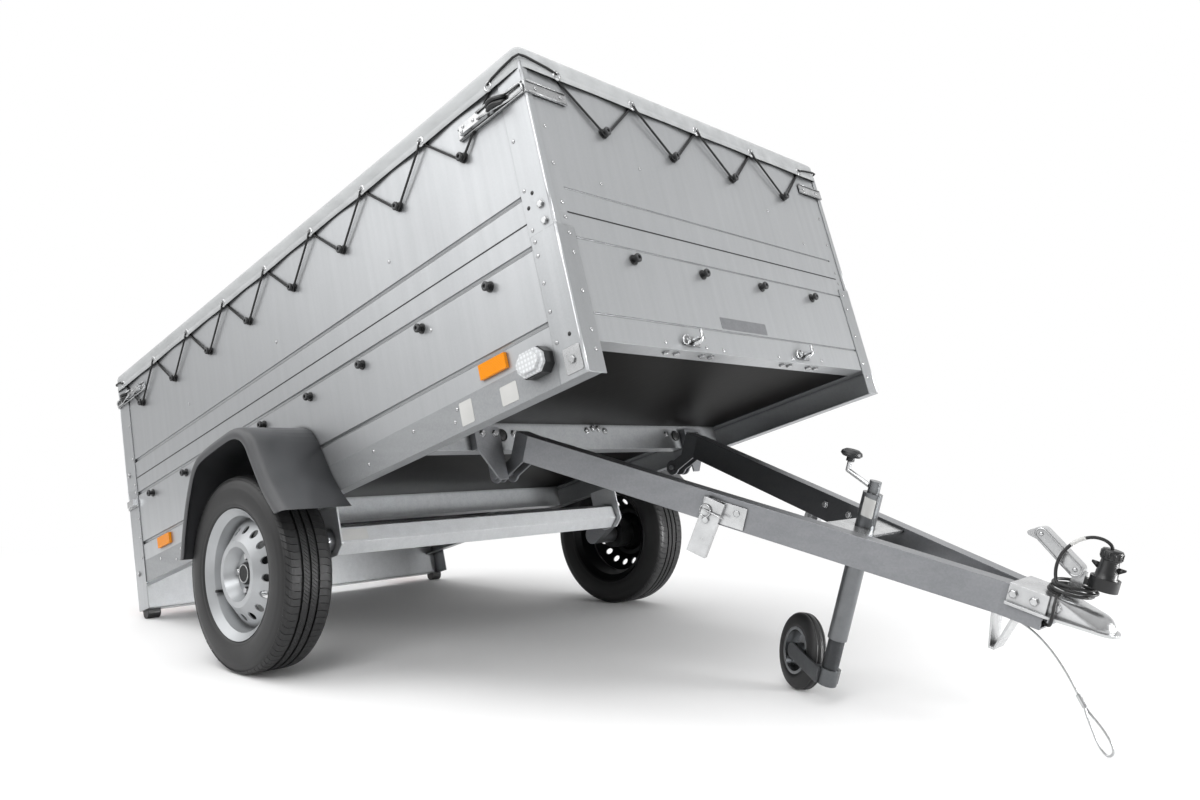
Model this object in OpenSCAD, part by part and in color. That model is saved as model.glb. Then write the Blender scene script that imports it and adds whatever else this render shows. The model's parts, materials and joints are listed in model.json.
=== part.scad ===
// Tipping utility trailer with raised boards, cover, V drawbar and jockey wheel.
// Millimetres, +X forward, +Y left, +Z up, on the floor at Z = 0.

/* [Bed] */
// Length of the bed over its corner posts
bed_length = 2353; // [2250:1:2600]
// Width of the bed over its corner posts
bed_width = 1339; // [1250:1:1400]
// Height of the frame rails
rail_height = 79; // [70:1:100]
// Height of the lower boards
lower_board_height = 307; // [280:1:400]
// Height of the upper boards
upper_board_height = 379; // [320:1:500]
// Thickness of every board
board_thick = 20; // [14:1:28]
// Thickness of folded sheet: rails, posts, panels
sheet_thick = 3; // [2:0.5:4]
// Thickness of the floor
floor_thick = 9; // [6:1:18]
// Nose-up angle of the tipped bed
bed_tilt = 16.9; // [15:0.1:18]

/* [Running gear] */
// Outer radius of a road tyre
tyre_radius = 273.6; // [260:0.2:285]
// Width of a road tyre
tyre_width = 155; // [135:1:165]
// Radius of the rim flange
rim_radius = 182.5; // [170:0.5:190]
// Gap between a road tyre and the bed's side
wheel_gap = 24; // [20:1:40]
// Distance from the bed's front down to the axle line
axle_setback = 1281; // [1200:1:1320]
// Depth of the axle line below the rails
axle_drop = 155; // [150:1:175]

/* [Drawbar] */
// Distance from the bed's front back to the tip hinge
pivot_setback = 622; // [600:1:640]
// Depth of the tip hinge below the rails
pivot_drop = 60; // [56:1:64]
// Nose-down angle of the drawbar
bar_pitch = 15.5; // [14:0.1:17]
// Length of an arm from the tip hinge to its front end
arm_length = 1322; // [1250:1:1400]
// Height of an arm
arm_height = 72; // [60:1:80]
// Width of an arm
arm_width = 45; // [38:1:50]
// Wall of an arm
arm_wall = 4; // [3:0.5:6]
// Height of the arms' top above the tip hinge
arm_rise = 127; // [122:1:128]
// Half spread of the arms at the tip hinge
arm_spread = 398; // [380:1:400]

/* [Jockey] */
// Distance from the tip hinge to the jockey post
post_station = 868; // [820:1:920]
// Outer radius of the jockey's outer tube
post_radius = 24; // [22:0.5:28]
// Outer radius of the jockey's inner leg
leg_radius = 20; // [17:0.5:21]
// Distance from the post back to the jockey wheel's axle
trail = 144; // [135:1:170]
// Swivel of the jockey fork as it stands
swivel = -32; // [-45:1:45]
// Outer radius of the jockey wheel
jockey_radius = 98; // [85:1:102]
// Width of the jockey wheel
jockey_width = 44; // [36:1:50]

/* [Coupling] */
// Radius of the ball socket
socket_radius = 25.2; // [25:0.1:26]
// Distance from the arms' front ends to the socket's centre
socket_reach = 90; // [85:1:120]

/* [Hidden] */

$fn = 64;
cut = 2;
seat_gap = 0.3;
run_gap = 0.05;
swing_gap = 5;

// Finishes
zinc = "silver";
dull_zinc = "darkgray";
dark_plastic = "dimgray";
black_rubber = "#222222";

// Levels and faces of the bed, measured from its front lower edge
seam_z = rail_height + lower_board_height;
board_top = seam_z + upper_board_height;
skin_y = bed_width / 2 - sheet_thick;
wall_y = skin_y - board_thick;
skin_front = -sheet_thick;
wall_front = skin_front - board_thick;
skin_rear = sheet_thick - bed_length;
wall_rear = skin_rear + board_thick;
skin_length = skin_front - skin_rear;
track = bed_width + tyre_width + 2 * wheel_gap;

// Rails, posts and cross members
rail_top_flange = 50;
rail_low_flange = 42;
post_side_flange = 84;
rear_side_flange = 80;
post_front_flange = 60;
upper_front_flange = 20;
post_seam_gap = 36;
post_height = seam_z - post_seam_gap;
front_sill_depth = 32;
cross_flange = 42;
front_cross_lead = 16;
rear_cross_gap = 139;
front_cross_x = front_cross_lead - pivot_setback;
rear_cross_x = -axle_setback - rear_cross_gap;
cross_low = 2;

// Beads rolled into the boards, as shares of a board's height
bead_radius = 6.5;
end_bead_radius = 3;
lower_bead_shares = [0.205, 0.805];
upper_bead_shares = [0.169];

// Tail panel, its lip and the rubber buffers that stand on the ground
buffer_radius = 22;
buffer_width = 45;
buffer_neck = 8;
buffer_inset = 8;
panel_lip = 26;
buffer_x = skin_rear + buffer_radius;
buffer_z = (buffer_radius - tyre_radius - sin(bed_tilt) * (buffer_x + axle_setback)) / cos(bed_tilt)
    - axle_drop;
foot_z = buffer_z + buffer_neck;

// Lamps and markers
tail_lamp_size = [42, 190, 96];
tail_lamp_inset = 150;
tail_lamp_z = -8;
marker_size = [94, 9, 37];
marker_front_inset = 282;
marker_rear_inset = 265;
marker_xs = [-marker_front_inset, marker_rear_inset - bed_length];
marker_z = 112;
front_lamp_x = -136;
front_lamp_z = 67;
front_lamp_size = [84, 56];
front_lamp_base_depth = 26;
front_lamp_lens_depth = 16;
front_lamp_rim = 5;
front_lamp_bevel = 14;
lamp_corner_share = 0.3;

// Hooks: [radius, height] pairs of the turned profile
hook_base = [13, 3];
hook_stem = [6.5, 10];
hook_head = [11.5, 6];
hook_dimple = [4.5, 3];
hook_edge = 1.5;
hook_front_inset = 244;
hook_rear_inset = 205;
hook_count_side = 8;
hook_span_x = (bed_length - hook_front_inset - hook_rear_inset) / (hook_count_side - 1);
hook_end_inset = 252.5;
hook_count_end = 4;
hook_span_y = (bed_width - 2 * hook_end_inset) / (hook_count_end - 1);
lower_hook_z = 298;
upper_hook_z = 640;

// Over-centre latches at the corners
latch_z = 696;
latch_height = 30;
latch_plate = 4;
latch_side_length = 156;
latch_lever_length = 118;
latch_lever_height = 24;
latch_lever_rise = 15;
latch_strap_length = 132;
gate_latch_z = 296;

// Tilt lock: catches on the front board and levers on the arms
catch_y = 264;
catch_z = 101;
catch_plate = [4, 62, 24];
catch_wing = [30, 26, 6];
lever_station = 600;
lever_size = [50, 18, 142];
lever_wall = 4;
lever_drop = 14;
lever_lean = 8;
lever_base = [112, 4, 54];
lever_base_lead = 22;

// Cover and the bows that carry it
cover_rise = 43;
cover_thick = 3;
cover_gap = 2;
cover_skirt = 62;
bow_radius = 11;
bow_count = 4;

// Tip hinge: ears on the bed, forks on the arms
hinge_pin_radius = 8;
hinge_head_radius = 15;
hinge_head = 8;
ear_plate = 5;
ear_gap = 14;
ear_depth = 24;
ear_top = 60;
ear_width = 88;
ear_tip_width = 30;
ear_nose = 25;
ear_y = arm_spread + ear_gap;
fork_plate = 6;
fork_rear = 24;
fork_length = 48;
fork_nose = 24;

// Tailgate and its hinges
gate_low = rail_height + swing_gap;
gate_top = seam_z - swing_gap;
gate_half = wall_y - swing_gap;
knuckle_radius = 7.5;
knuckle_pin = 4;
knuckle_width = 36;
knuckle_gap = 1;
hinge_leaf = 4;
hinge_leaf_height = 44;
gate_hinge_z = rail_height + swing_gap / 2;
gate_hinge_x = skin_rear - knuckle_radius - seat_gap;
gate_hinge_share = 0.5;

// Axle beam, its brackets, swing arms and stub axles
beam_radius = 46;
beam_x = 111;
beam_z = 50;
beam_turn = 20;
bracket_plate = 6;
bracket_inset = 66.5;
bracket_y = skin_y - bracket_inset;
bracket_low = 48;
bracket_half = 62;
bracket_foot = 40;
swing_arm_gap = 6;
swing_arm_y = bracket_y + bracket_plate + swing_arm_gap;
swing_arm_thick = 30;
swing_arm_nose = 34;
stub_radius = 17.5;
hub_gap = 6;

// Mudguard outline about the axle, as shares of the tyre's radius: [forward, up]
guard_outline_shares = [[1.78, -0.3], [1.254, 0.365], [1.111, 0.545], [0.976, 0.779], [0.728, 1.425],
    [-0.06, 1.4], [-0.43, 1.34], [-0.68, 1.02], [-0.87, 0.673], [-0.99, 0.373], [-1.26, -0.3]];
guard_low_share = 0.365;
guard_round = 70;
guard_thick = 4;
guard_side_gap = 24;
guard_lip = 34;

// Road wheel profile
bead_seat = 166;
// Side of the tyre from the rim flange to the tread: [share of its height, share of its half width]
tyre_side_shares = [[0.02, 0.9], [0.14, 0.975], [0.34, 1], [0.6, 0.985], [0.8, 0.945], [0.9, 0.89],
    [0.965, 0.81], [0.99, 0.72], [1, 0.62]];
tread_groove = [7, 6];
tread_groove_shares = [-0.155, 0, 0.155];
rim_wall = 4;
rim_well = 14;
rim_half = 66;
disc_thick = 5;
disc_crown = [76, 92];
disc_crown_y = 62;
disc_foot_y = 12;
disc_bowl_y = 28;
disc_bowl_radius = 58;
disc_hole_radius = 11;
disc_hole_ring = 121;
disc_hole_count = 16;
hub_bolt_ring = 47;
hub_bolt_count = 4;
hub_bolt_radius = 8.5;
hub_bolt_height = 9;
hub_radius = 56;
hub_length = 70;
cap_radius = 31;
cap_height = 18;
cap_chamfer = 4;

// Drawbar plan: the arms run side by side from the bend to the coupling
bend_setback = 90;
arm_front_half = 60;
bend_x = arm_length - bend_setback;
arm_angle = atan((arm_spread - arm_front_half) / (bend_x - fork_rear - fork_length));

// Jockey bracket, tube, crank, leg and fork
bracket_thick = 6;
bracket_reach = 52;
tube_stand = 78;
tube_top = arm_rise + tube_stand;
tube_wall = 3.4;
tube_low = -169;
cap_knob_radius = 14.5;
cap_knob_height = 30;
crank_radius = 6;
crank_reach = 78;
crank_climb = 20;
crank_post = 22;
grip_radius = 27;
grip_height = 31;
// Turned outline of the grip: [share of its radius, share of its height]
grip_outline_shares = [[0, 0], [0.38, 0], [0.36, 0.34], [0.8, 0.38], [1, 0.55], [0.93, 0.76],
    [0.62, 0.94], [0, 1]];
collar_wall = 5;
collar_height = 42;
leg_inside = 180;
strap_thick = 5;
strap_height = 38;
strap_gap = 5;
jockey_pin = 8;
jockey_shoulder = 12;
jockey_hub = 20;
jockey_rim_share = 0.62;
jockey_disc = 8;

// Coupling head, handle, plug and holder
skirt_plate = 4;
skirt_drop = 42;
skirt_length = 78;
head_half = 50;
dome_radius = 36;
dome_level = 88;
lip_radius = 45;
lip_thick = 6;
lip_flange = 8;
stand_rear = 13;
stand_front = 44;
stand_half = 9;
handle_pivot = [24, 192];
handle_grip = [-58, 242];
handle_tip = [-80, 237];
handle_radii = [16, 15, 6];
handle_half = 15;
cup_station = 80;
cup_low = 169;
cup_depth = 26;
cup_wall = 4;
plug_radius = 25;
plug_neck_radius = 17;
plug_body = 60;
plug_nut_radius = 22;
plug_nut = 22;

// Rest foot under the coupling, a folded strap
foot_strap = 5;
foot_half = 30;
foot_rear_x = -112;
foot_front_x = -62;
foot_flange_x = -36;
foot_flat = [-98, -85];
foot_depth = 86;

// Electric lead: free stretches as routes in the drawbar's frame, and the wound turns
lead_radius = 3.5;
lead_sides = 8;
coil_reach = 27;
coil_x = arm_length + coil_reach;
coil_inner = 34;
coil_outer = 50;
coil_low = arm_rise + skirt_plate + seat_gap;
coil_height = 35;
lead_tail_guide = [0.2, 1, 0];
lead_tail_route = [[1322, -50, 72], [1332, -56, 71], [1340, -66, 75], [1343, -73, 85], [1343, -74, 98],
    [1341, -71, 112], [1339, -65, 125], [1337, -56, 135], [1334, -46, 140]];
lead_arch_route = [[1322, -31, 158], [1316, -32, 176], [1314, -31, 198], [1318, -29, 220], [1328, -24, 241],
    [1343, -17, 258], [1362, -9, 268], [1381, -4, 269], [1395, -1, 263], [1401, 0, 254], [1402, 0, 248]];

// Safety wire: free stretch and end loop, in the drawbar's frame
wire_radius = 2.5;
ferrule_radius = 5.5;
wire_route = [[1258.4, 0, 44], [1275, 0, 39.3], [1295, 0, 32.6], [1315, 0, 23.4], [1335, 0, 11.2],
    [1355, 0, -3.6], [1375, 0, -20.8], [1393, 0, -38.5], [1411, 0, -58]];
ferrule_ends = [[1411, 0, -58], [1430, 0, -77]];
loop_route = [[1430, 2.8, -77], [1444, 3, -88], [1458, 3, -97], [1474, 2, -108], [1490, 1, -122],
    [1500, 0, -136], [1501, 0, -147], [1494, 0, -153], [1483, 0, -149], [1470, -1, -136],
        [1458, -2, -120], [1446, -3, -103],
    [1436, -3, -88], [1430, -2.8, -77]];

// Frame placement: the origin lies under the middle of the trailer's length
cover_out = cover_gap + cover_thick;
cover_top = board_top + cover_rise;
pivot_dx = cos(bed_tilt) * (axle_setback - pivot_setback) - sin(bed_tilt) * (axle_drop - pivot_drop);
pivot_dz = sin(bed_tilt) * (axle_setback - pivot_setback) + cos(bed_tilt) * (axle_drop - pivot_drop);
front_reach = pivot_dx + cos(bar_pitch) * (arm_length + socket_reach + lip_radius)
    + sin(bar_pitch) * (dome_level + lip_thick / 2);
rear_reach = cos(bed_tilt) * (bed_length + cover_out - axle_setback)
    + sin(bed_tilt) * (cover_top + axle_drop);
axle_x = (rear_reach - front_reach) / 2;
pivot_z = tyre_radius + pivot_dz;

// Jockey wheel height, found from the ground it stands on
lean = abs(sin(swivel)) * sin(bar_pitch);
jockey_support = (jockey_radius - jockey_shoulder) * sqrt(1 - lean * lean)
    + (jockey_width / 2 - jockey_shoulder) * lean + jockey_shoulder;
jockey_station = post_station - trail * cos(swivel);
jockey_z = (jockey_support + jockey_station * sin(bar_pitch) - pivot_z) / cos(bar_pitch);
collar_low = jockey_z - strap_height / 2;

// Frames of the three assemblies
module in_bed() {
    translate([axle_x, 0, tyre_radius]) rotate([0, -bed_tilt, 0])
        translate([axle_setback, 0, axle_drop]) children();
}

module in_bar() {
    translate([axle_x + pivot_dx, 0, pivot_z]) rotate([0, bar_pitch, 0]) children();
}

module in_fork() {
    in_bar() translate([post_station, 0, 0]) rotate([0, 0, swivel]) children();
}

module at_wheel(side) {
    translate([axle_x, side * track / 2, tyre_radius]) rotate([-side * 90, 0, 0]) children();
}

// Helpers: profiles drawn in the plane across an axis and drawn out along it
module along_x(from, to) {
    translate([from, 0, 0]) rotate([90, 0, 90]) linear_extrude(to - from) children();
}

module along_y(from, to) {
    translate([0, to, 0]) rotate([90, 0, 0]) linear_extrude(to - from) children();
}

module block(low, high) {
    translate(low) cube(high - low);
}

module both_sides() {
    children();
    mirror([0, 1, 0]) children();
}

module bar_along_y(radius, from, to) {
    translate([0, to, 0]) rotate([90, 0, 0]) cylinder(r = radius, h = to - from);
}

// A round tube swept along a route of points
function unit(v) = v / norm(v);
function tangent(route, i) =
    let (last = len(route) - 1)
    unit(route[min(i + 1, last)] - route[max(i - 1, 0)]);
function side_of(direction, guide) = unit(cross(direction, guide));
function ring(point, direction, guide, radius, sides) =
    let (a = side_of(direction, guide), b = cross(direction, a))
    [for (k = [0:sides - 1]) point + radius * (cos(360 * k / sides) * a + sin(360 * k / sides) * b)];

module swept_tube(route, radius, sides, guide) {
    rings = len(route);
    points = [for (i = [0:rings - 1]) each ring(route[i], tangent(route, i), guide, radius, sides)];
    walls = [for (i = [0:rings - 2], k = [0:sides - 1])
        let (n = (k + 1) % sides)
        [i * sides + k, i * sides + n, (i + 1) * sides + n, (i + 1) * sides + k]];
    first = [for (k = [sides - 1:-1:0]) k];
    last = [for (k = [0:sides - 1]) (rings - 1) * sides + k];
    polyhedron(points, concat([first], walls, [last]), convexity = 6);
}

// Bed frame
module floor() {
    color("#3a3431") in_bed()
        block([wall_rear + swing_gap, -wall_y, rail_height],
            [wall_front, wall_y, rail_height + floor_thick]);
}

module rail_profile() {
    polygon([[skin_y, 0], [skin_y, rail_height], [skin_y - rail_top_flange, rail_height],
        [skin_y - rail_top_flange, rail_height - sheet_thick],
            [skin_y - sheet_thick, rail_height - sheet_thick],
        [skin_y - sheet_thick, sheet_thick], [skin_y - rail_low_flange, sheet_thick],
        [skin_y - rail_low_flange, 0]]);
}

module frame_rails() {
    color(zinc) in_bed() both_sides() along_x(skin_rear + sheet_thick, skin_front) rail_profile();
}

module channel_profile(x) {
    polygon([[x, cross_low], [x, rail_height], [x - cross_flange, rail_height],
        [x - cross_flange, rail_height - sheet_thick], [x - sheet_thick, rail_height - sheet_thick],
        [x - sheet_thick, cross_low + sheet_thick], [x - cross_flange, cross_low + sheet_thick],
        [x - cross_flange, cross_low]]);
}

module cross_members() {
    half = skin_y - rail_top_flange;
    color(dull_zinc) in_bed() {
        along_y(-half, half) channel_profile(front_cross_x);
        along_y(-half, half) channel_profile(rear_cross_x);
    }
}

module lamp_panel() {
    color(zinc) in_bed() along_y(-skin_y, skin_y)
        polygon([[skin_rear, foot_z], [skin_rear, rail_height], [skin_rear + sheet_thick, rail_height],
            [skin_rear + sheet_thick, foot_z + sheet_thick], [skin_rear + panel_lip, foot_z + sheet_thick],
            [skin_rear + panel_lip, foot_z]]);
}

module tail_lamps() {
    color("firebrick") in_bed() both_sides()
        block([skin_rear - tail_lamp_size.x, skin_y - tail_lamp_inset - tail_lamp_size.y / 2,
                tail_lamp_z - tail_lamp_size.z / 2],
            [skin_rear, skin_y - tail_lamp_inset + tail_lamp_size.y / 2,
                tail_lamp_z + tail_lamp_size.z / 2]);
}

module tail_buffers() {
    outer = skin_y - buffer_inset;
    color(black_rubber) in_bed() both_sides() along_y(outer - buffer_width, outer) difference() {
        union() {
            translate([buffer_x, buffer_z]) circle(buffer_radius);
            translate([buffer_x - buffer_radius, buffer_z]) square([2 * buffer_radius, buffer_neck]);
        }
        translate([buffer_x - buffer_radius, foot_z]) square([2 * buffer_radius, buffer_radius]);
    }
}

// Boards
module side_beads(low, height, shares) {
    for (share = shares)
        translate([skin_rear + rear_side_flange - sheet_thick, skin_y, low + height * share])
            rotate([0, 90, 0]) cylinder(r = bead_radius,
                h = bed_length - rear_side_flange - post_side_flange);
}

module side_panel(low, height, shares) {
    difference() {
        block([skin_rear, wall_y, low], [skin_front, skin_y, low + height]);
        side_beads(low, height, shares);
    }
}

module lower_side() { side_panel(rail_height, lower_board_height, lower_bead_shares); }
module upper_side() { side_panel(seam_z, upper_board_height, upper_bead_shares); }

module side_board_left() { color(zinc) in_bed() lower_side(); }
module side_board_right() { color(zinc) in_bed() mirror([0, 1, 0]) lower_side(); }
module upper_board_left() { color(zinc) in_bed() upper_side(); }
module upper_board_right() { color(zinc) in_bed() mirror([0, 1, 0]) upper_side(); }

module end_beads(x, half, low, height, shares) {
    for (share = shares)
        translate([x, 0, low + height * share]) bar_along_y(end_bead_radius, -half, half);
}

module front_board() {
    sill = skin_y - rail_top_flange;
    color(zinc) in_bed() difference() {
        union() {
            block([wall_front, -wall_y, rail_height], [skin_front, wall_y, seam_z]);
            block([wall_front - front_sill_depth, -sill, rail_height - sheet_thick],
                [skin_front, sill, rail_height]);
        }
        end_beads(skin_front, bed_width / 2 - post_front_flange, rail_height, lower_board_height,
            lower_bead_shares);
    }
}

module front_upper_board() {
    color(zinc) in_bed() difference() {
        block([wall_front, -wall_y, seam_z], [skin_front, wall_y, board_top]);
        end_beads(skin_front, bed_width / 2 - post_front_flange, seam_z, upper_board_height,
            upper_bead_shares);
    }
}

module rear_upper_board() {
    color(zinc) in_bed() difference() {
        block([skin_rear, -wall_y, seam_z], [wall_rear, wall_y, board_top]);
        end_beads(skin_rear, gate_half, seam_z, upper_board_height, upper_bead_shares);
    }
}

module front_angle(front_flange) {
    polygon([[0, bed_width / 2], [0, bed_width / 2 - front_flange],
        [skin_front, bed_width / 2 - front_flange],
        [skin_front, skin_y], [-post_side_flange, skin_y], [-post_side_flange, bed_width / 2]]);
}

module rear_angle() {
    polygon([[-bed_length, bed_width / 2], [-bed_length, wall_y], [skin_rear, wall_y], [skin_rear, skin_y],
        [rear_side_flange - bed_length, skin_y], [rear_side_flange - bed_length, bed_width / 2]]);
}

module corner_posts() {
    color(zinc) in_bed() both_sides() {
        linear_extrude(post_height) front_angle(post_front_flange);
        translate([0, 0, foot_z]) linear_extrude(post_height - foot_z) rear_angle();
    }
}

module upper_posts() {
    color(zinc) in_bed() both_sides() translate([0, 0, post_height]) {
        linear_extrude(board_top - post_height) front_angle(upper_front_flange);
        linear_extrude(board_top - post_height) rear_angle();
    }
}

// Fittings on the bed
module octagon(width, height, corner) {
    polygon([[-width / 2 + corner, -height / 2], [width / 2 - corner, -height / 2],
        [width / 2, -height / 2 + corner], [width / 2, height / 2 - corner],
        [width / 2 - corner, height / 2], [-width / 2 + corner, height / 2],
        [-width / 2, height / 2 - corner], [-width / 2, -height / 2 + corner]]);
}

module front_lamp_bases() {
    color(black_rubber) in_bed() both_sides() translate([front_lamp_x, 0, front_lamp_z])
        along_y(skin_y, skin_y + front_lamp_base_depth)
            octagon(front_lamp_size.x + front_lamp_rim, front_lamp_size.y + front_lamp_rim,
                front_lamp_size.y * lamp_corner_share);
}

module front_lamps() {
    face = skin_y + front_lamp_base_depth;
    step = face + front_lamp_lens_depth / 2;
    color("white") in_bed() both_sides() translate([front_lamp_x, 0, front_lamp_z]) union() {
        along_y(face, step) octagon(front_lamp_size.x, front_lamp_size.y,
            front_lamp_size.y * lamp_corner_share);
        along_y(step, face + front_lamp_lens_depth)
            octagon(front_lamp_size.x - front_lamp_bevel, front_lamp_size.y - front_lamp_bevel,
                front_lamp_size.y * lamp_corner_share);
    }
}

module side_markers() {
    color("orange") in_bed() both_sides() for (x = marker_xs)
        translate([x - marker_size.x / 2, skin_y, marker_z - marker_size.z / 2]) cube(marker_size);
}

module hook() {
    under = hook_base.y + hook_stem.y;
    top = under + hook_head.y;
    rotate_extrude($fn = 32) polygon([[0, 0], [hook_base.x, 0], [hook_base.x, hook_base.y],
        [hook_stem.x, hook_base.y], [hook_stem.x, under], [hook_head.x, under],
            [hook_head.x, top - hook_edge],
        [hook_head.x - hook_edge, top], [hook_dimple.x, top], [hook_dimple.x, top - hook_dimple.y],
        [0, top - hook_dimple.y]]);
}

module side_hooks(z) {
    for (i = [0:hook_count_side - 1])
        translate([-hook_front_inset - hook_span_x * i, skin_y, z]) rotate([-90, 0, 0]) hook();
}

module end_hooks(x, z, turn) {
    for (i = [0:hook_count_end - 1])
        translate([x, (i - (hook_count_end - 1) / 2) * hook_span_y, z]) rotate([0, turn, 0]) hook();
}

module cover_hooks() {
    color(black_rubber) in_bed() {
        both_sides() side_hooks(upper_hook_z);
        end_hooks(skin_front, upper_hook_z, 90);
        end_hooks(skin_rear, upper_hook_z, -90);
    }
}

module tie_hooks() {
    color(black_rubber) in_bed() {
        both_sides() side_hooks(lower_hook_z);
        end_hooks(skin_front, lower_hook_z, 90);
    }
}

module latch_on_side(front, rear, z) {
    face = bed_width / 2 + latch_plate;
    middle = (front + rear) / 2;
    block([rear, skin_y, z - latch_height / 2], [front, face, z + latch_height / 2]);
    block([middle - latch_lever_length / 2, face, z - latch_lever_height / 2],
        [middle + latch_lever_length / 2, face + latch_lever_rise, z + latch_lever_height / 2]);
}

module latch_round_corner(x, outward, reach, z) {
    face = bed_width / 2;
    block([min(x, x + outward), face - latch_strap_length, z - latch_height / 2],
        [max(x, x + outward), face + latch_plate, z + latch_height / 2]);
    block([min(x, x + reach), face, z - latch_height / 2],
        [max(x, x + reach), face + latch_plate, z + latch_height / 2]);
}

module gate_latch() {
    face = bed_width / 2 + latch_plate;
    low = gate_latch_z - latch_height / 2;
    block([-bed_length, bed_width / 2, low], [rear_side_flange - bed_length, face, low + latch_height]);
    block([latch_height - bed_length, face, low + latch_plate],
        [rear_side_flange - bed_length, face + latch_lever_rise, low + latch_height - latch_plate]);
}

module corner_latches() {
    rear_edge = rear_side_flange - bed_length;
    color("gainsboro") in_bed() both_sides() {
        latch_on_side(-post_side_flange, -post_side_flange - latch_side_length, latch_z);
        latch_round_corner(0, latch_plate, -post_side_flange, latch_z);
        latch_on_side(rear_edge + latch_side_length, rear_edge, latch_z);
        latch_round_corner(-bed_length, -latch_plate, rear_side_flange, latch_z);
        gate_latch();
    }
}

module lock_catches() {
    color("gainsboro") in_bed() both_sides() union() {
        block([skin_front, catch_y - catch_plate.y / 2, catch_z - catch_plate.z / 2],
            [skin_front + catch_plate.x, catch_y + catch_plate.y / 2, catch_z + catch_plate.z / 2]);
        block([skin_front + catch_plate.x, catch_y - catch_wing.y / 2, catch_z - catch_wing.z / 2],
            [skin_front + catch_plate.x + catch_wing.x, catch_y + catch_wing.y / 2,
                catch_z + catch_wing.z / 2]);
    }
}

module cover_bows() {
    bow_z = cover_top - cover_thick - seat_gap - bow_radius;
    peg_y = (skin_y + wall_y) / 2;
    peg_radius = board_thick / 2;
    color("gray") in_bed() for (i = [0:bow_count - 1])
        translate([-bed_length * (i + 0.5) / bow_count, 0, 0]) union() {
            translate([0, 0, bow_z]) bar_along_y(bow_radius, -peg_y, peg_y);
            both_sides() translate([0, peg_y, board_top]) cylinder(r = peg_radius, h = bow_z - board_top);
        }
}

module cover() {
    low = cover_top - cover_skirt;
    half = bed_width / 2 + cover_gap;
    color("gray") in_bed() difference() {
        block([-bed_length - cover_out, -half - cover_thick, low],
            [cover_out, half + cover_thick, cover_top]);
        block([-bed_length - cover_gap, -half, low - cut], [cover_gap, half, cover_top - cover_thick]);
    }
}

// Tip hinge on the bed
module ear_side() {
    polygon([[front_cross_x + ear_depth, ear_top], [front_cross_x, ear_top], [front_cross_x, cross_low],
        [-pivot_setback - ear_nose, cross_low], [-pivot_setback - ear_nose, -pivot_drop],
        [-pivot_setback, -pivot_drop - ear_nose], [front_cross_x + ear_depth, -pivot_drop]]);
    translate([-pivot_setback, -pivot_drop]) circle(ear_nose);
}

module ear_front() {
    polygon([[ear_y, ear_top], [ear_y + ear_width, ear_top], [ear_y + ear_width, 0],
        [ear_y + ear_tip_width, -pivot_drop - ear_nose], [ear_y, -pivot_drop - ear_nose]]);
}

module hinge_ears() {
    pin_inner = arm_spread - arm_width - hinge_head;
    web_x = front_cross_x + ear_depth;
    color(zinc) in_bed() both_sides() union() {
        along_y(ear_y, ear_y + ear_plate) ear_side();
        along_x(web_x - ear_plate, web_x) ear_front();
        block([front_cross_x, ear_y + ear_width - ear_plate, 0], [web_x, ear_y + ear_width, ear_top]);
        translate([-pivot_setback, 0, -pivot_drop]) {
            bar_along_y(hinge_pin_radius, pin_inner, ear_y);
            bar_along_y(hinge_head_radius, arm_spread + seat_gap, ear_y);
            bar_along_y(hinge_head_radius, ear_y + ear_plate, ear_y + ear_plate + hinge_head);
        }
    }
}

// Tailgate and its hinges
module knuckle_places() {
    for (side = [-1, 0, 1]) translate([gate_hinge_x, side * gate_half * gate_hinge_share, gate_hinge_z])
        children();
}

module gate_leaf(from, to, low, high) {
    block([skin_rear - hinge_leaf - gate_hinge_x, from, low], [skin_rear - gate_hinge_x, to, high]);
}

module gate_hinges() {
    half = knuckle_width / 2;
    color(zinc) in_bed() knuckle_places() union() {
        bar_along_y(knuckle_pin, -half - knuckle_gap - knuckle_width, half + knuckle_gap + knuckle_width);
        both_sides() {
            bar_along_y(knuckle_radius, half + knuckle_gap, half + knuckle_gap + knuckle_width);
            gate_leaf(half + knuckle_gap, half + knuckle_gap + knuckle_width, -hinge_leaf_height, 0);
        }
    }
}

module tailgate() {
    half = knuckle_width / 2;
    color(zinc) in_bed() difference() {
        union() {
            block([skin_rear, -gate_half, gate_low], [wall_rear, gate_half, gate_top]);
            knuckle_places() {
                bar_along_y(knuckle_radius, -half, half);
                gate_leaf(-half, half, 0, hinge_leaf_height);
            }
        }
        knuckle_places() bar_along_y(knuckle_pin + run_gap, -knuckle_width, knuckle_width);
        end_beads(skin_rear, gate_half + cut, rail_height, lower_board_height, lower_bead_shares);
    }
}

module gate_hooks() {
    color(black_rubber) in_bed() end_hooks(skin_rear, lower_hook_z, -90);
}

// Axle
module beam_place() {
    translate([beam_x - axle_setback, 0, beam_z - axle_drop]) children();
}

module bracket_profile() {
    polygon([[-bracket_half, axle_drop - beam_z], [bracket_half, axle_drop - beam_z],
        [bracket_half, -bracket_low / 2], [bracket_half / 2, -bracket_low],
            [-bracket_half / 2, -bracket_low],
        [-bracket_half, -bracket_low / 2]]);
}

module axle_beam() {
    color(dull_zinc) in_bed() beam_place() union() {
        rotate([0, beam_turn, 0]) translate([0, bracket_y, 0]) rotate([90, 0, 0])
            cylinder(r = beam_radius, h = 2 * bracket_y, $fn = 6);
        both_sides() {
            along_y(bracket_y, bracket_y + bracket_plate) bracket_profile();
            block([-bracket_half, bracket_y, axle_drop - beam_z - bracket_plate],
                [bracket_half, bracket_y + bracket_foot, axle_drop - beam_z]);
        }
    }
}

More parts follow.
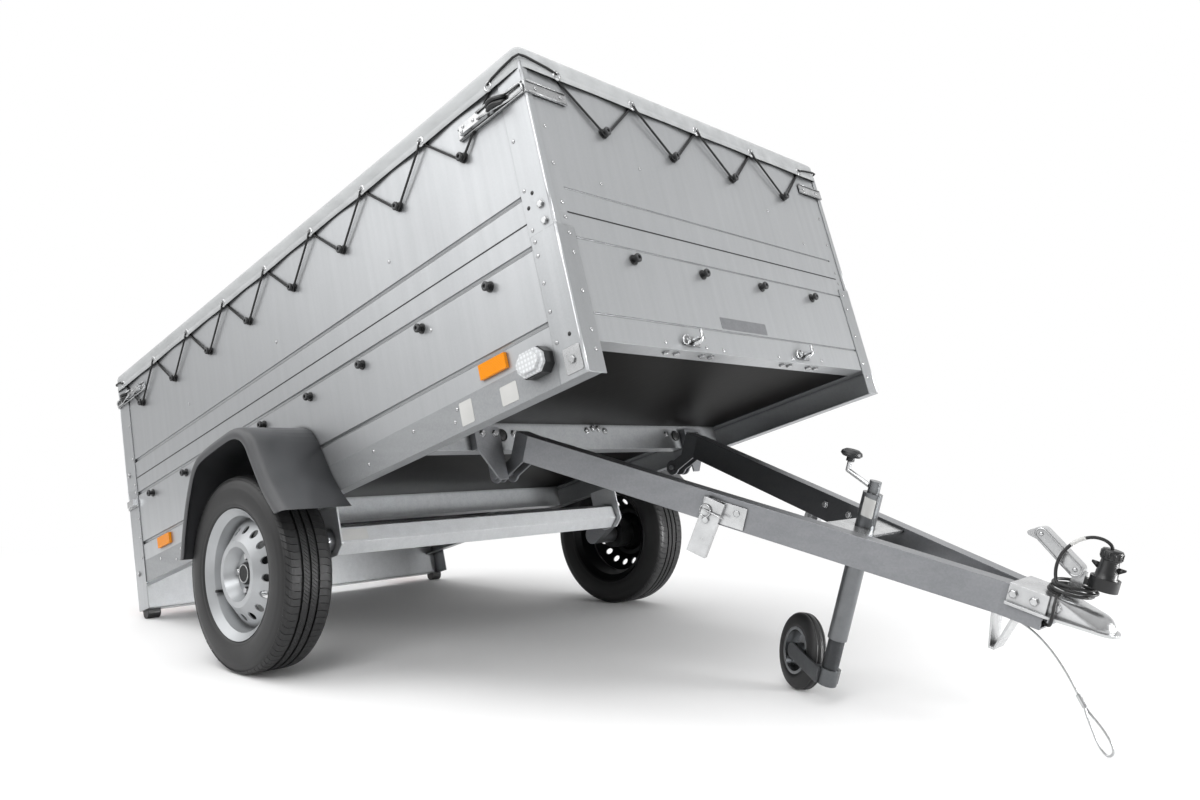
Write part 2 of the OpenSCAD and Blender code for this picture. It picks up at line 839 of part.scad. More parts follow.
module axle_arm() {
    start = bracket_y + bracket_plate;
    stop = swing_arm_y + swing_arm_thick;
    hub_back = track / 2 + disc_bowl_y - hub_length;
    color(dull_zinc) in_bed() translate([-axle_setback, 0, -axle_drop]) union() {
        hull() {
            translate([beam_x, 0, beam_z]) bar_along_y(swing_arm_nose, swing_arm_y, stop);
            bar_along_y(swing_arm_nose, swing_arm_y, stop);
        }
        translate([beam_x, 0, beam_z]) bar_along_y(swing_arm_nose, start, swing_arm_y);
        bar_along_y(swing_arm_nose, stop, hub_back - hub_gap);
        bar_along_y(stub_radius, hub_back - hub_gap, track / 2);
    }
}

module axle_arm_left() { axle_arm(); }
module axle_arm_right() { mirror([0, 1, 0]) axle_arm(); }

// Mudguards
module guard_outline(inset) {
    points = [for (p = guard_outline_shares) [p.x, p.y] * tyre_radius];
    offset(delta = -inset) offset(r = guard_round) offset(delta = -guard_round) polygon(points);
}

module mudguard() {
    outer = track / 2 + tyre_width / 2 + guard_side_gap;
    low = tyre_radius * guard_low_share;
    color(dark_plastic) in_bed() translate([-axle_setback, 0, -axle_drop]) difference() {
        along_y(skin_y, outer) guard_outline(0);
        along_y(skin_y - cut, outer - guard_thick) guard_outline(guard_thick);
        along_y(outer - guard_thick - cut, outer + cut) guard_outline(guard_lip);
        block([-2 * tyre_radius, skin_y - cut, -tyre_radius], [2 * tyre_radius, outer + cut, low]);
    }
}

module mudguard_left() { mudguard(); }
module mudguard_right() { mirror([0, 1, 0]) mudguard(); }

// Road wheels, drawn about their own axis with the outer face up
module tyre_profile() {
    half = tyre_width / 2;
    bead = rim_half - rim_well - seat_gap;
    lip = rim_radius + 2 * seat_gap;
    side = [for (p = tyre_side_shares) [lip + (tyre_radius - lip) * p.x, half * p.y]];
    other = [for (i = [len(side) - 1:-1:0]) [side[i].x, -side[i].y]];
    difference() {
        polygon(concat([[bead_seat, -bead], [bead_seat, bead], [lip, rim_half - seat_gap]], side, other,
            [[lip, -rim_half + seat_gap]]));
        for (share = tread_groove_shares)
            translate([tyre_radius - tread_groove.y, tyre_width * share - tread_groove.x / 2])
                square([tread_groove.y + cut, tread_groove.x]);
    }
}

module tyre() { color(black_rubber) rotate_extrude() tyre_profile(); }

module rim_profile() {
    bead = bead_seat - seat_gap;
    polygon([[rim_radius, rim_half + rim_wall], [rim_radius, rim_half], [bead, rim_half - rim_well],
        [bead - rim_well, 0], [bead, -rim_half + rim_well], [rim_radius, -rim_half],
            [rim_radius, -rim_half - rim_wall],
        [bead - rim_wall, -rim_half + rim_well], [bead - rim_well - rim_wall, 0],
        [bead - rim_wall, rim_half - rim_well]]);
}

module disc_profile() {
    foot = bead_seat - rim_well + seat_gap;
    polygon([[0, disc_bowl_y], [disc_bowl_radius, disc_bowl_y], [disc_crown[0], disc_crown_y],
        [disc_crown[1], disc_crown_y], [foot, disc_foot_y], [foot, disc_foot_y + disc_thick],
        [disc_crown[1], disc_crown_y + disc_thick], [disc_crown[0], disc_crown_y + disc_thick],
        [disc_bowl_radius, disc_bowl_y + disc_thick], [0, disc_bowl_y + disc_thick]]);
}

module rim() {
    color("lightgray") difference() {
        union() {
            rotate_extrude() rim_profile();
            rotate_extrude() disc_profile();
        }
        for (i = [0:disc_hole_count - 1]) rotate(360 * i / disc_hole_count)
            translate([disc_hole_ring, 0, 0])
            cylinder(r = disc_hole_radius, h = tyre_width, $fn = 24);
        translate([0, 0, -tyre_width]) cylinder(r = cap_radius + seat_gap, h = 2 * tyre_width);
        for (i = [0:hub_bolt_count - 1]) rotate(360 * i / hub_bolt_count) translate([hub_bolt_ring, 0, 0])
            cylinder(r = hub_bolt_radius + seat_gap, h = tyre_width);
    }
}

module hub() {
    face = disc_bowl_y + disc_thick;
    color("dimgray") difference() {
        union() {
            translate([0, 0, disc_bowl_y - hub_length]) cylinder(r = hub_radius, h = hub_length);
            cylinder(r = cap_radius, h = disc_bowl_y + cap_height - cap_chamfer);
            translate([0, 0, disc_bowl_y + cap_height - cap_chamfer])
                cylinder(r1 = cap_radius, r2 = cap_radius - cap_chamfer, h = cap_chamfer);
            for (i = [0:hub_bolt_count - 1]) rotate(360 * i / hub_bolt_count)
                translate([hub_bolt_ring, 0, 0])
                cylinder(r = hub_bolt_radius, h = face + hub_bolt_height);
        }
        translate([0, 0, disc_bowl_y - hub_length - cut])
            cylinder(r = stub_radius + run_gap, h = hub_length - disc_bowl_y + cut + seat_gap);
    }
}

module tyre_left() { at_wheel(1) tyre(); }
module tyre_right() { at_wheel(-1) tyre(); }
module rim_left() { at_wheel(1) rim(); }
module rim_right() { at_wheel(-1) rim(); }
module hub_left() { at_wheel(1) hub(); }
module hub_right() { at_wheel(-1) hub(); }

// Drawbar arms with the hinge forks at their rear ends
module arm_plan(inset) {
    rear = fork_rear;
    knee = fork_rear + fork_length;
    polygon([[rear, arm_spread - inset], [knee, arm_spread - inset], [bend_x, arm_front_half - inset],
        [arm_length, arm_front_half - inset], [arm_length, arm_front_half - arm_width + inset],
        [bend_x, arm_front_half - arm_width + inset], [knee, arm_spread - arm_width + inset],
        [rear, arm_spread - arm_width + inset]]);
}

module arm_side() {
    low = arm_rise - arm_height;
    polygon([[fork_rear, arm_rise], [arm_length, arm_rise], [arm_length, low],
        [fork_rear + fork_length, low]]);
}

module fork_side() {
    low = arm_rise - arm_height;
    polygon([[fork_rear, arm_rise - arm_wall], [fork_rear + fork_length, arm_rise - arm_wall],
        [fork_rear + fork_length, low], [fork_nose, 0], [0, 0], [-fork_nose, 0],
            [fork_rear, low - arm_wall]]);
    circle(fork_nose);
}

module drawbar_arm() {
    color(zinc) in_bar() difference() {
        union() {
            intersection() {
                linear_extrude(arm_rise) arm_plan(0);
                along_y(0, bed_width) arm_side();
            }
            along_y(arm_spread - fork_plate, arm_spread) fork_side();
            along_y(arm_spread - arm_width, arm_spread - arm_width + fork_plate) fork_side();
        }
        translate([0, 0, arm_rise - arm_height + arm_wall]) linear_extrude(arm_height - 2 * arm_wall)
            arm_plan(arm_wall);
        bar_along_y(hinge_pin_radius + run_gap, 0, bed_width);
    }
}

module drawbar_arm_left() { drawbar_arm(); }
module drawbar_arm_right() { mirror([0, 1, 0]) drawbar_arm(); }

// Jockey
function arm_inner(x) =
    let (knee = fork_rear + fork_length, share = (x - knee) / (bend_x - knee))
    arm_spread - arm_width + share * (arm_front_half - arm_spread);

module bracket_plan() {
    rear = post_station - bracket_reach;
    front = post_station + bracket_reach;
    polygon([[rear, arm_inner(rear) - seat_gap], [front, arm_inner(front) - seat_gap],
        [front, -arm_inner(front) + seat_gap], [rear, -arm_inner(rear) + seat_gap]]);
}

module jockey_bracket() {
    color(zinc) in_bar() for (z = [arm_rise - 2 * bracket_thick, arm_rise - arm_height])
        translate([0, 0, z]) difference() {
            linear_extrude(bracket_thick) bracket_plan();
            translate([post_station, 0, -cut]) cylinder(r = post_radius + seat_gap,
                h = bracket_thick + 2 * cut);
        }
}

module jockey_tube() {
    color(zinc) in_bar() translate([post_station, 0, 0]) difference() {
        union() {
            translate([0, 0, tube_low]) cylinder(r = post_radius, h = tube_top - tube_low);
            translate([0, 0, tube_top]) cylinder(r = cap_knob_radius, h = cap_knob_height);
        }
        translate([0, 0, tube_low - cut])
            cylinder(r = post_radius - tube_wall, h = tube_top - tube_low - tube_wall + cut);
    }
}

crank_start = tube_top + cap_knob_height / 2;
crank_elbow = [-crank_reach, 0, crank_start + crank_climb];

module jockey_crank() {
    root = [-cap_knob_radius - seat_gap, 0, crank_start];
    color("silver") in_bar() translate([post_station, 0, 0]) {
        hull() {
            translate(root) rotate([0, -90, 0]) cylinder(r = crank_radius, h = seat_gap, $fn = 32);
            translate(crank_elbow) sphere(crank_radius, $fn = 32);
        }
        translate(crank_elbow) cylinder(r = crank_radius, h = crank_post);
    }
}

module crank_grip() {
    color(black_rubber) in_bar() translate([post_station, 0, 0])
        translate(crank_elbow + [0, 0, crank_post + seat_gap]) rotate_extrude()
            polygon([for (p = grip_outline_shares) [p.x * grip_radius, p.y * grip_height]]);
}

module jockey_leg() {
    color(dull_zinc) in_bar() translate([post_station, 0, collar_low + collar_wall + seat_gap])
        cylinder(r = leg_radius, h = tube_low + leg_inside - collar_low - collar_wall - seat_gap);
}

module jockey_fork() {
    half = jockey_width / 2 + strap_gap;
    color(dull_zinc) in_fork() difference() {
        union() {
            translate([0, 0, collar_low]) cylinder(r = leg_radius + collar_wall, h = collar_height);
            both_sides() {
                block([-trail, half, jockey_z - strap_height / 2],
                    [0, half + strap_thick, jockey_z + strap_height / 2]);
                translate([-trail, 0, jockey_z]) bar_along_y(strap_height / 2, half, half + strap_thick);
            }
            block([-leg_radius - collar_wall, -half - strap_thick, jockey_z - strap_height / 2],
                [0, half + strap_thick, jockey_z + strap_height / 2]);
            translate([-trail, 0, jockey_z]) bar_along_y(jockey_pin, -half, half);
        }
        translate([0, 0, collar_low + collar_wall]) cylinder(r = leg_radius + run_gap, h = collar_height);
    }
}

module at_jockey() {
    in_fork() translate([-trail, 0, jockey_z]) rotate([-90, 0, 0]) children();
}

module jockey_tyre() {
    half = jockey_width / 2;
    inner = jockey_radius * jockey_rim_share;
    color(black_rubber) at_jockey() rotate_extrude() difference() {
        offset(r = jockey_shoulder) offset(delta = -jockey_shoulder)
            translate([inner - jockey_shoulder, -half])
                square([jockey_radius - inner + jockey_shoulder, jockey_width]);
        translate([0, -half]) square([inner, jockey_width]);
    }
}

module jockey_rim() {
    half = jockey_width / 2;
    inner = jockey_radius * jockey_rim_share - seat_gap;
    color("silver") at_jockey() rotate_extrude() difference() {
        union() {
            translate([inner - jockey_disc, -half]) square([jockey_disc, jockey_width]);
            translate([jockey_hub / 2, -jockey_disc / 2]) square([inner - jockey_hub / 2, jockey_disc]);
            translate([0, -half]) square([jockey_hub, jockey_width]);
        }
        translate([0, -half - cut]) square([jockey_pin + run_gap, jockey_width + 2 * cut]);
    }
}

// Coupling
module lip_plan() {
    inner = arm_front_half + seat_gap;
    outer = inner + skirt_plate + lip_flange;
    rear = arm_length - skirt_length;
    shoulder = arm_length + seat_gap + skirt_plate;
    nose = arm_length + socket_reach;
    difference() {
        union() {
            polygon([[rear, -outer], [shoulder, -outer], [nose, -lip_radius], [nose, lip_radius],
                [shoulder, outer], [rear, outer]]);
            translate([nose, 0]) circle(lip_radius);
        }
        translate([rear - cut, -inner]) square([skirt_length + cut, 2 * inner]);
    }
}

module coupling_head() {
    outer = arm_front_half + seat_gap;
    rear = arm_length - skirt_length;
    top = arm_rise + seat_gap;
    socket = [arm_length + socket_reach, 0, dome_level];
    color("gainsboro") in_bar() difference() {
        union() {
            block([rear, -outer - skirt_plate, top], [arm_length, outer + skirt_plate, top + skirt_plate]);
            both_sides() block([rear, outer, arm_rise - skirt_drop],
                [arm_length, outer + skirt_plate, top]);
            hull() {
                block([arm_length + seat_gap, -head_half, arm_rise - skirt_drop],
                    [arm_length + seat_gap + skirt_plate, head_half, top + skirt_plate]);
                translate(socket) sphere(dome_radius, $fn = 48);
            }
            block([arm_length, -outer - skirt_plate, arm_rise - skirt_drop],
                [arm_length + seat_gap + skirt_plate, outer + skirt_plate, top + skirt_plate]);
            translate([0, 0, arm_rise - skirt_drop]) linear_extrude(lip_thick) lip_plan();
        }
        translate(socket) sphere(socket_radius);
        translate(socket - [0, 0, 2 * dome_radius]) cylinder(r = socket_radius, h = 2 * dome_radius);
        translate(socket - [2 * dome_radius, 2 * dome_radius, 2 * dome_radius + lip_thick / 2])
            cube([4 * dome_radius, 4 * dome_radius, 2 * dome_radius]);
    }
}

module handle_round(place, radius) {
    translate([place.x, 0, place.y]) bar_along_y(radius, -handle_half, handle_half);
}

module coupling_handle() {
    base = arm_rise + seat_gap + skirt_plate;
    color("gainsboro") in_bar() translate([arm_length, 0, 0]) {
        along_y(-stand_half, stand_half) polygon([[stand_rear, base], [stand_front, base],
            [stand_front, handle_pivot.y], [handle_pivot.x, handle_pivot.y],
                [stand_rear, base + stand_half]]);
        difference() {
            union() {
                hull() {
                    handle_round(handle_pivot, handle_radii[0]);
                    handle_round(handle_grip, handle_radii[1]);
                }
                hull() {
                    handle_round(handle_grip, handle_radii[1]);
                    handle_round(handle_tip, handle_radii[2]);
                }
            }
            along_y(-stand_half - seat_gap, stand_half + seat_gap)
                translate([stand_rear, base]) square([stand_front, handle_pivot.y - base]);
        }
    }
}

module plug_holder() {
    x = arm_length + cup_station;
    radius = plug_radius + seat_gap;
    color(black_rubber) in_bar() {
        translate([x, 0, cup_low]) difference() {
            cylinder(r = radius + cup_wall, h = cup_depth);
            translate([0, 0, cup_wall]) cylinder(r = radius, h = cup_depth);
        }
        block([arm_length + stand_front, -stand_half, cup_low],
            [x - plug_radius - cup_wall / 2, stand_half, cup_low + cup_depth / 2]);
    }
}

module lead_plug() {
    x = arm_length + cup_station;
    low = cup_low + cup_wall;
    color(black_rubber) in_bar() translate([x, 0, low]) union() {
        cylinder(r1 = plug_radius, r2 = plug_neck_radius, h = plug_body);
        translate([0, 0, plug_body]) cylinder(r = plug_nut_radius, h = plug_nut, $fn = 8);
    }
}

module rest_foot() {
    low = arm_rise - arm_height;
    floor_z = low - foot_depth;
    x = arm_length;
    color("gainsboro") in_bar() along_y(-foot_half, foot_half) polygon([
        [x + foot_rear_x, low], [x + foot_rear_x, low - foot_strap], [x + foot_flat[0], floor_z],
        [x + foot_flat[1], floor_z], [x + foot_front_x, low - foot_strap],
        [x + foot_flange_x, low - foot_strap], [x + foot_flange_x, low],
        [x + foot_front_x - foot_strap, low], [x + foot_flat[1] - foot_strap / 2, floor_z + foot_strap],
        [x + foot_flat[0] + foot_strap / 2, floor_z + foot_strap], [x + foot_rear_x + foot_strap, low]]);
}

module lock_levers() {
    y = arm_inner(lever_station) + arm_width;
    top = arm_rise - lever_drop;
    color("gainsboro") in_bar() both_sides() translate([lever_station, y, top]) rotate([0, 0, -arm_angle]) {
        translate([lever_base_lead - lever_base.x / 2, seat_gap, -lever_base.z]) cube(lever_base);
        rotate([0, lever_lean, 0]) difference() {
            block([-lever_size.x / 2, seat_gap, -lever_size.z], [lever_size.x / 2, lever_size.y, 0]);
            block([-lever_size.x / 2 + lever_wall, -cut, -lever_size.z - cut],
                [lever_size.x / 2 - lever_wall, lever_size.y - lever_wall, cut]);
        }
    }
}

// Electric lead and safety wire
module lead_coil() {
    color(black_rubber) in_bar() translate([coil_x, 0, coil_low]) rotate_extrude()
        translate([coil_inner, 0]) square([coil_outer - coil_inner, coil_height]);
}

module lead_tube() {
    color(black_rubber) in_bar() {
        swept_tube(lead_tail_route, lead_radius, lead_sides, lead_tail_guide);
        swept_tube(lead_arch_route, lead_radius, lead_sides, [0, 1, 0]);
    }
}

module safety_wire() {
    color("lightgray") in_bar() {
        swept_tube(wire_route, wire_radius, lead_sides, [0, 1, 0]);
        swept_tube(loop_route, wire_radius, lead_sides, [0, 1, 0]);
    }
}

module wire_ferrule() {
    run = ferrule_ends[1] - ferrule_ends[0];
    color("silver") in_bar() translate(ferrule_ends[0]) rotate([0, 90 + atan2(-run.z, run.x), 0])
        cylinder(r = ferrule_radius, h = norm(run));
}

floor();
frame_rails();
cross_members();
front_board();
front_upper_board();
side_board_right();
side_board_left();
upper_board_right();
upper_board_left();
rear_upper_board();
corner_posts();
upper_posts();
lamp_panel();
tail_lamps();
tail_buffers();
front_lamp_bases();
front_lamps();
side_markers();
cover_hooks();
tie_hooks();
corner_latches();
lock_catches();
cover_bows();
cover();
hinge_ears();
gate_hinges();
axle_beam();
axle_arm_right();
axle_arm_left();
mudguard_right();
mudguard_left();
tailgate();
gate_hooks();
tyre_right();
tyre_left();
rim_right();
rim_left();
hub_right();
hub_left();
drawbar_arm_right();
drawbar_arm_left();
jockey_bracket();
jockey_tube();
jockey_crank();
crank_grip();
coupling_head();
coupling_handle();
plug_holder();
rest_foot();
lock_levers();
jockey_leg();
jockey_fork();
jockey_tyre();
jockey_rim();
lead_plug();
lead_coil();
lead_tube();
safety_wire();
wire_ferrule();
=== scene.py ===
"""Looks of the tipping utility trailer: camera, cords, finishes, cover, lacing, tyres and small hardware."""
import json
import math

import bmesh
import bpy
from mathutils import Matrix, Vector


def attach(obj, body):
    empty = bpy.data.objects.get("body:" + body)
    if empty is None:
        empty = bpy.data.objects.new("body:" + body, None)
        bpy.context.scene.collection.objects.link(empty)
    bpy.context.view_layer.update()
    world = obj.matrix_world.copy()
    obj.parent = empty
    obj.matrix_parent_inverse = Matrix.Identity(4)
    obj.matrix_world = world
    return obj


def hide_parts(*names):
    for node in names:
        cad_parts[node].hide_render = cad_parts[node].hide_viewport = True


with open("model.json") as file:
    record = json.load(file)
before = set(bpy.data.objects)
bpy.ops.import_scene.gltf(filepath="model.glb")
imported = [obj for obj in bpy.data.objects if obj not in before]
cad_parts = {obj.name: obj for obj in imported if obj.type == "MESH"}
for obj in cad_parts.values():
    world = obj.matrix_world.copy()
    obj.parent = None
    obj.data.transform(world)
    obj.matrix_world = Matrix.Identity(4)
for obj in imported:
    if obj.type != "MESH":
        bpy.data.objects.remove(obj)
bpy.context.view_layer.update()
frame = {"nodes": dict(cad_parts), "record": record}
record = frame["record"]
joints = {joint["name"]: joint for joint in record["behaviour"]["joints"]}
scene = bpy.context.scene

# Sizes repeated from the part's source, in metres
BED_TILT, BAR_PITCH = math.radians(16.9), math.radians(15.5)
BED_LENGTH, BED_WIDTH = 2.353, 1.339
AXLE_SETBACK, AXLE_DROP = 1.281, 0.155
SEAM_Z = 0.386
SHEET = 0.003
POST_Y = BED_WIDTH / 2
SKIN_Y = POST_Y - SHEET
COVER_TOP, COVER_SKIRT, COVER_OUT = 0.808, 0.062, 0.005
HOOK_FIRST, HOOK_SPAN, HOOK_COUNT = 0.244, 0.272, 8
HOOK_SPAN_END, HOOK_COUNT_END = 0.278, 4
HOOK_Z, LOWER_HOOK_Z = 0.640, 0.298
HOOK_STEM, HOOK_MID, HOOK_FACE = 0.0065, 0.008, 0.019
TYRE_R, TYRE_W, RIM_R, RIM_HALF = 0.2736, 0.155, 0.1825, 0.066
ARM_LENGTH, ARM_SPREAD, ARM_TIP = 1.322, 0.398, 0.060
ARM_BEND_REAR, ARM_BEND_FRONT = 0.072, 1.232
MEMBER_X = -0.606
JOCKEY_X, JOCKEY_TUBE_R = 0.868, 0.0242
COIL_X = 1.349
PLUG_X, PLUG_LOW = 1.402, 0.173

MM = 0.001
UP = (0, 0, 1)
SIDE_NAMES = {-1: "right", 1: "left"}
SIDES = tuple(SIDE_NAMES)

axle = Vector(joints["wheel_right_spin"]["pos_m"])
pivot = Vector(joints["bed_tip"]["pos_m"])
TRACK = -2 * axle.y
bed_matrix = (Matrix.Translation((axle.x, 0, axle.z)) @ Matrix.Rotation(-BED_TILT, 4, "Y")
              @ Matrix.Translation((AXLE_SETBACK, 0, AXLE_DROP)))
bar_matrix = Matrix.Translation(pivot) @ Matrix.Rotation(BAR_PITCH, 4, "Y")


def bed(x, y, z):
    """A point of the bed: forward of its front, left, above the rails' lower edge."""
    return bed_matrix @ Vector((x, y, z))


def bar(x, y, z):
    """A point of the drawbar: forward of the tip hinge, left, above it."""
    return bar_matrix @ Vector((x, y, z))


def facing(matrix, outward, upward=UP):
    """A turn that takes a piece's +Z outward and its +Y upward, in the frame of the matrix."""
    z, y = Vector(outward).normalized(), Vector(upward)
    x = y.cross(z).normalized()
    return matrix.to_3x3() @ Matrix((x, z.cross(x), z)).transposed()


side_wall = {s: facing(bed_matrix, (0, s, 0)) for s in SIDES}
front_wall, rear_wall = facing(bed_matrix, (1, 0, 0)), facing(bed_matrix, (-1, 0, 0))

# Camera, solved from the photograph and placed from the axle
CAMERA_PLACE = (axle.x + 2.5679, -2.1473, 0.6537)
CAMERA_RIGHT, CAMERA_UP = Vector((0.74693, 0.6649, 0.00107)), Vector((0.03271, -0.03834, 0.99873))
camera_data = bpy.data.cameras.new("camera")
camera_data.sensor_width = 36
camera_data.lens = 28.74
camera_data.shift_x, camera_data.shift_y = -0.0112, -0.0087
camera = bpy.data.objects.new("camera", camera_data)
camera_axes = Matrix((CAMERA_RIGHT, CAMERA_UP, CAMERA_RIGHT.cross(CAMERA_UP))).transposed()
camera.matrix_world = Matrix.Translation(CAMERA_PLACE) @ camera_axes.to_4x4()
scene.collection.objects.link(camera)
scene.camera = camera


# Materials
def srgb(code, share=1.0):
    """A linear colour from an sRGB hex code, or a share of it."""
    parts = [int(code[i:i + 2], 16) / 255 for i in (1, 3, 5)]
    return tuple(share * (c / 12.92 if c <= 0.04045 else ((c + 0.055) / 1.055) ** 2.4) for c in parts) + (1,)


def grey(value):
    return (value, value, value, 1)


def wire(tree, node, inputs):
    """Sets a node's inputs, each to a value or to another node's output."""
    for key, value in inputs.items():
        if isinstance(value, bpy.types.NodeSocket):
            tree.links.new(value, node.inputs[key])
        else:
            node.inputs[key].default_value = value


def put(tree, kind, inputs=None, stops=(), **settings):
    """Adds a node with its settings, its inputs and, on a ramp, its stops."""
    made = tree.nodes.new(kind)
    for key, value in settings.items():
        setattr(made, key, value)
    for _ in stops[2:]:
        made.color_ramp.elements.new(0.5)
    for i, (position, colour) in enumerate(stops):
        made.color_ramp.elements[i].position = position
        made.color_ramp.elements[i].color = colour
    wire(tree, made, inputs or {})
    return made


def start(name, rough, metal=0.0):
    """A new material, its tree and its shader."""
    made = bpy.data.materials.new(name)
    made.use_nodes = True
    tree = made.node_tree
    shader = next(n for n in tree.nodes if n.type == "BSDF_PRINCIPLED")
    wire(tree, shader, {"Roughness": rough, "Metallic": metal})
    return made, tree, shader


def place(tree, size=1000, turn=0.0):
    """Where on the piece, turned back about Y with it and counted in a pattern's size in mm."""
    sizes = size if isinstance(size, tuple) else (size, size, size)
    where = put(tree, "ShaderNodeTexCoord").outputs["Object"]
    scale = [s * MM for s in sizes]
    return put(tree, "ShaderNodeMapping", {"Vector": where, "Rotation": (0, turn, 0), "Scale": scale},
               vector_type="TEXTURE").outputs[0]


def relief(tree, height, strength, depth, fold=0.0):
    """A normal with relief of that depth, on edges rounded to the fold's radius, both in mm."""
    inputs = {"Strength": strength, "Distance": depth * MM, "Height": height}
    if fold:
        inputs["Normal"] = put(tree, "ShaderNodeBevel", {"Radius": fold * MM}, samples=4).outputs["Normal"]
    return put(tree, "ShaderNodeBump", inputs).outputs["Normal"]


# Sockets of a colour Mix node
SHARE, FIRST, SECOND, MIXED = 0, 6, 7, 2
# Scale at which one band of a Wave texture fills one pattern size
BAND = math.pi / 10


def painted_hollow_shade(tree, tone, crease, reach=14):
    """The tone with painted shade: darker in grooves, seams and corners within that reach in mm, down to the
    crease share where they are deepest.
    """
    occlusion = put(tree, "ShaderNodeAmbientOcclusion", {"Distance": reach * MM}, samples=6).outputs["AO"]
    shade_tone = put(tree, "ShaderNodeValToRGB", {"Fac": occlusion}, [(0.35, grey(crease)), (0.88, grey(1.0))])
    return put(tree, "ShaderNodeMix", {SHARE: 1.0, FIRST: tone, SECOND: shade_tone.outputs[0]}, data_type="RGBA",
               blend_type="MULTIPLY").outputs[MIXED]


def turned_out(tree):
    """How far a face turns away from the trailer's middle plane, from -1 to 1."""
    across = put(tree, "ShaderNodeSeparateXYZ", {"Vector": place(tree)}).outputs["Y"]
    side = put(tree, "ShaderNodeMath", {0: across}, operation="SIGN").outputs[0]
    normal = put(tree, "ShaderNodeNewGeometry").outputs["Normal"]
    normal_y = put(tree, "ShaderNodeSeparateXYZ", {"Vector": normal}).outputs["Y"]
    return put(tree, "ShaderNodeMath", {0: normal_y, 1: side}, operation="MULTIPLY").outputs[0]


# From behind the jockey bracket to ahead of it, the painted shade on the arms' inner sides fades out
FULL_SHADE_TO, NO_SHADE_FROM = pivot.x + 0.70, pivot.x + 0.92


def inner_face_shade(tree, tone, share):
    """The tone, with painted shade down to that share on faces turned inwards, as far forward as the jockey
    bracket.
    """
    forward = put(tree, "ShaderNodeSeparateXYZ", {"Vector": place(tree)}).outputs["X"]
    unshaded_ahead = put(tree, "ShaderNodeMapRange", {"Value": forward, "From Min": FULL_SHADE_TO,
                                             "From Max": NO_SHADE_FROM}).outputs[0]
    shown = put(tree, "ShaderNodeMath", {0: turned_out(tree), 1: unshaded_ahead}, operation="ADD").outputs[0]
    face_shade_tone = put(tree, "ShaderNodeMapRange", {"Value": shown, "From Min": -0.8, "From Max": -0.4,
                                            "To Min": share}).outputs[0]
    return put(tree, "ShaderNodeMix", {SHARE: 1.0, FIRST: tone, SECOND: face_shade_tone}, data_type="RGBA",
               blend_type="MULTIPLY").outputs[MIXED]


def zinc(name, dark, light, rough, metal, cell, streak, spangle, turn=0.0, fold=1.6, crease=0.3, inner_shade_share=1.0):
    """Zinc on steel: spangle under streaks, sized in mm, a cloudy gloss, rounded folds, and painted shade in
    seams.
    """
    made, tree, shader = start(name, rough, metal)
    cells = put(tree, "ShaderNodeTexVoronoi", {"Vector": place(tree, cell), "Scale": 1.0, "Randomness": 1.0})
    flake = put(tree, "ShaderNodeSeparateColor", {"Color": cells.outputs["Color"]}).outputs[0]
    lines = put(tree, "ShaderNodeTexNoise", {"Vector": place(tree, streak, turn), "Scale": 1.0,
                                             "Detail": 6.0}).outputs["Fac"]
    cloud = put(tree, "ShaderNodeTexNoise", {"Vector": place(tree, 250), "Scale": 1.0,
                                             "Detail": 4.0}).outputs["Fac"]
    grain = put(tree, "ShaderNodeMix", {"Factor": 1 - spangle, "A": flake, "B": lines}).outputs["Result"]
    both = put(tree, "ShaderNodeMix", {"Factor": 0.4, "A": grain, "B": cloud}).outputs["Result"]
    tone = put(tree, "ShaderNodeValToRGB", {"Fac": both},
               [(0.25, srgb(dark)), (0.75, srgb(light))]).outputs[0]
    # Painted shade on the faces turned inwards, when that share is below 1
    if inner_shade_share < 1:
        tone = inner_face_shade(tree, tone, inner_shade_share)
    gloss = put(tree, "ShaderNodeValToRGB", {"Fac": both},
                [(0.2, grey(rough + 0.06)), (0.8, grey(rough - 0.06))])
    wire(tree, shader, {"Base Color": painted_hollow_shade(tree, tone, crease), "Roughness": gloss.outputs[0],
                        "Normal": relief(tree, lines, 0.05, 0.4, fold)})
    return made


def plastic(name, dark, light, rough, grain, depth, fold=1.0):
    """Moulded plastic, rubber or paint: a fine grain, its size and depth in mm, and a slow drift of tone."""
    made, tree, shader = start(name, rough)
    fine = put(tree, "ShaderNodeTexNoise", {"Vector": place(tree, grain), "Scale": 1.0,
                                            "Detail": 3.0}).outputs["Fac"]
    slow = put(tree, "ShaderNodeTexNoise", {"Vector": place(tree, 110), "Scale": 1.0,
                                            "Detail": 5.0}).outputs["Fac"]
    tone = put(tree, "ShaderNodeValToRGB", {"Fac": slow}, [(0.3, srgb(dark)), (0.7, srgb(light))])
    gloss = put(tree, "ShaderNodeValToRGB", {"Fac": slow},
                [(0.3, grey(rough - 0.06)), (0.7, grey(rough + 0.06))])
    wire(tree, shader, {"Base Color": tone.outputs[0], "Roughness": gloss.outputs[0],
                        "Normal": relief(tree, fine, 0.25, depth, fold)})
    return made


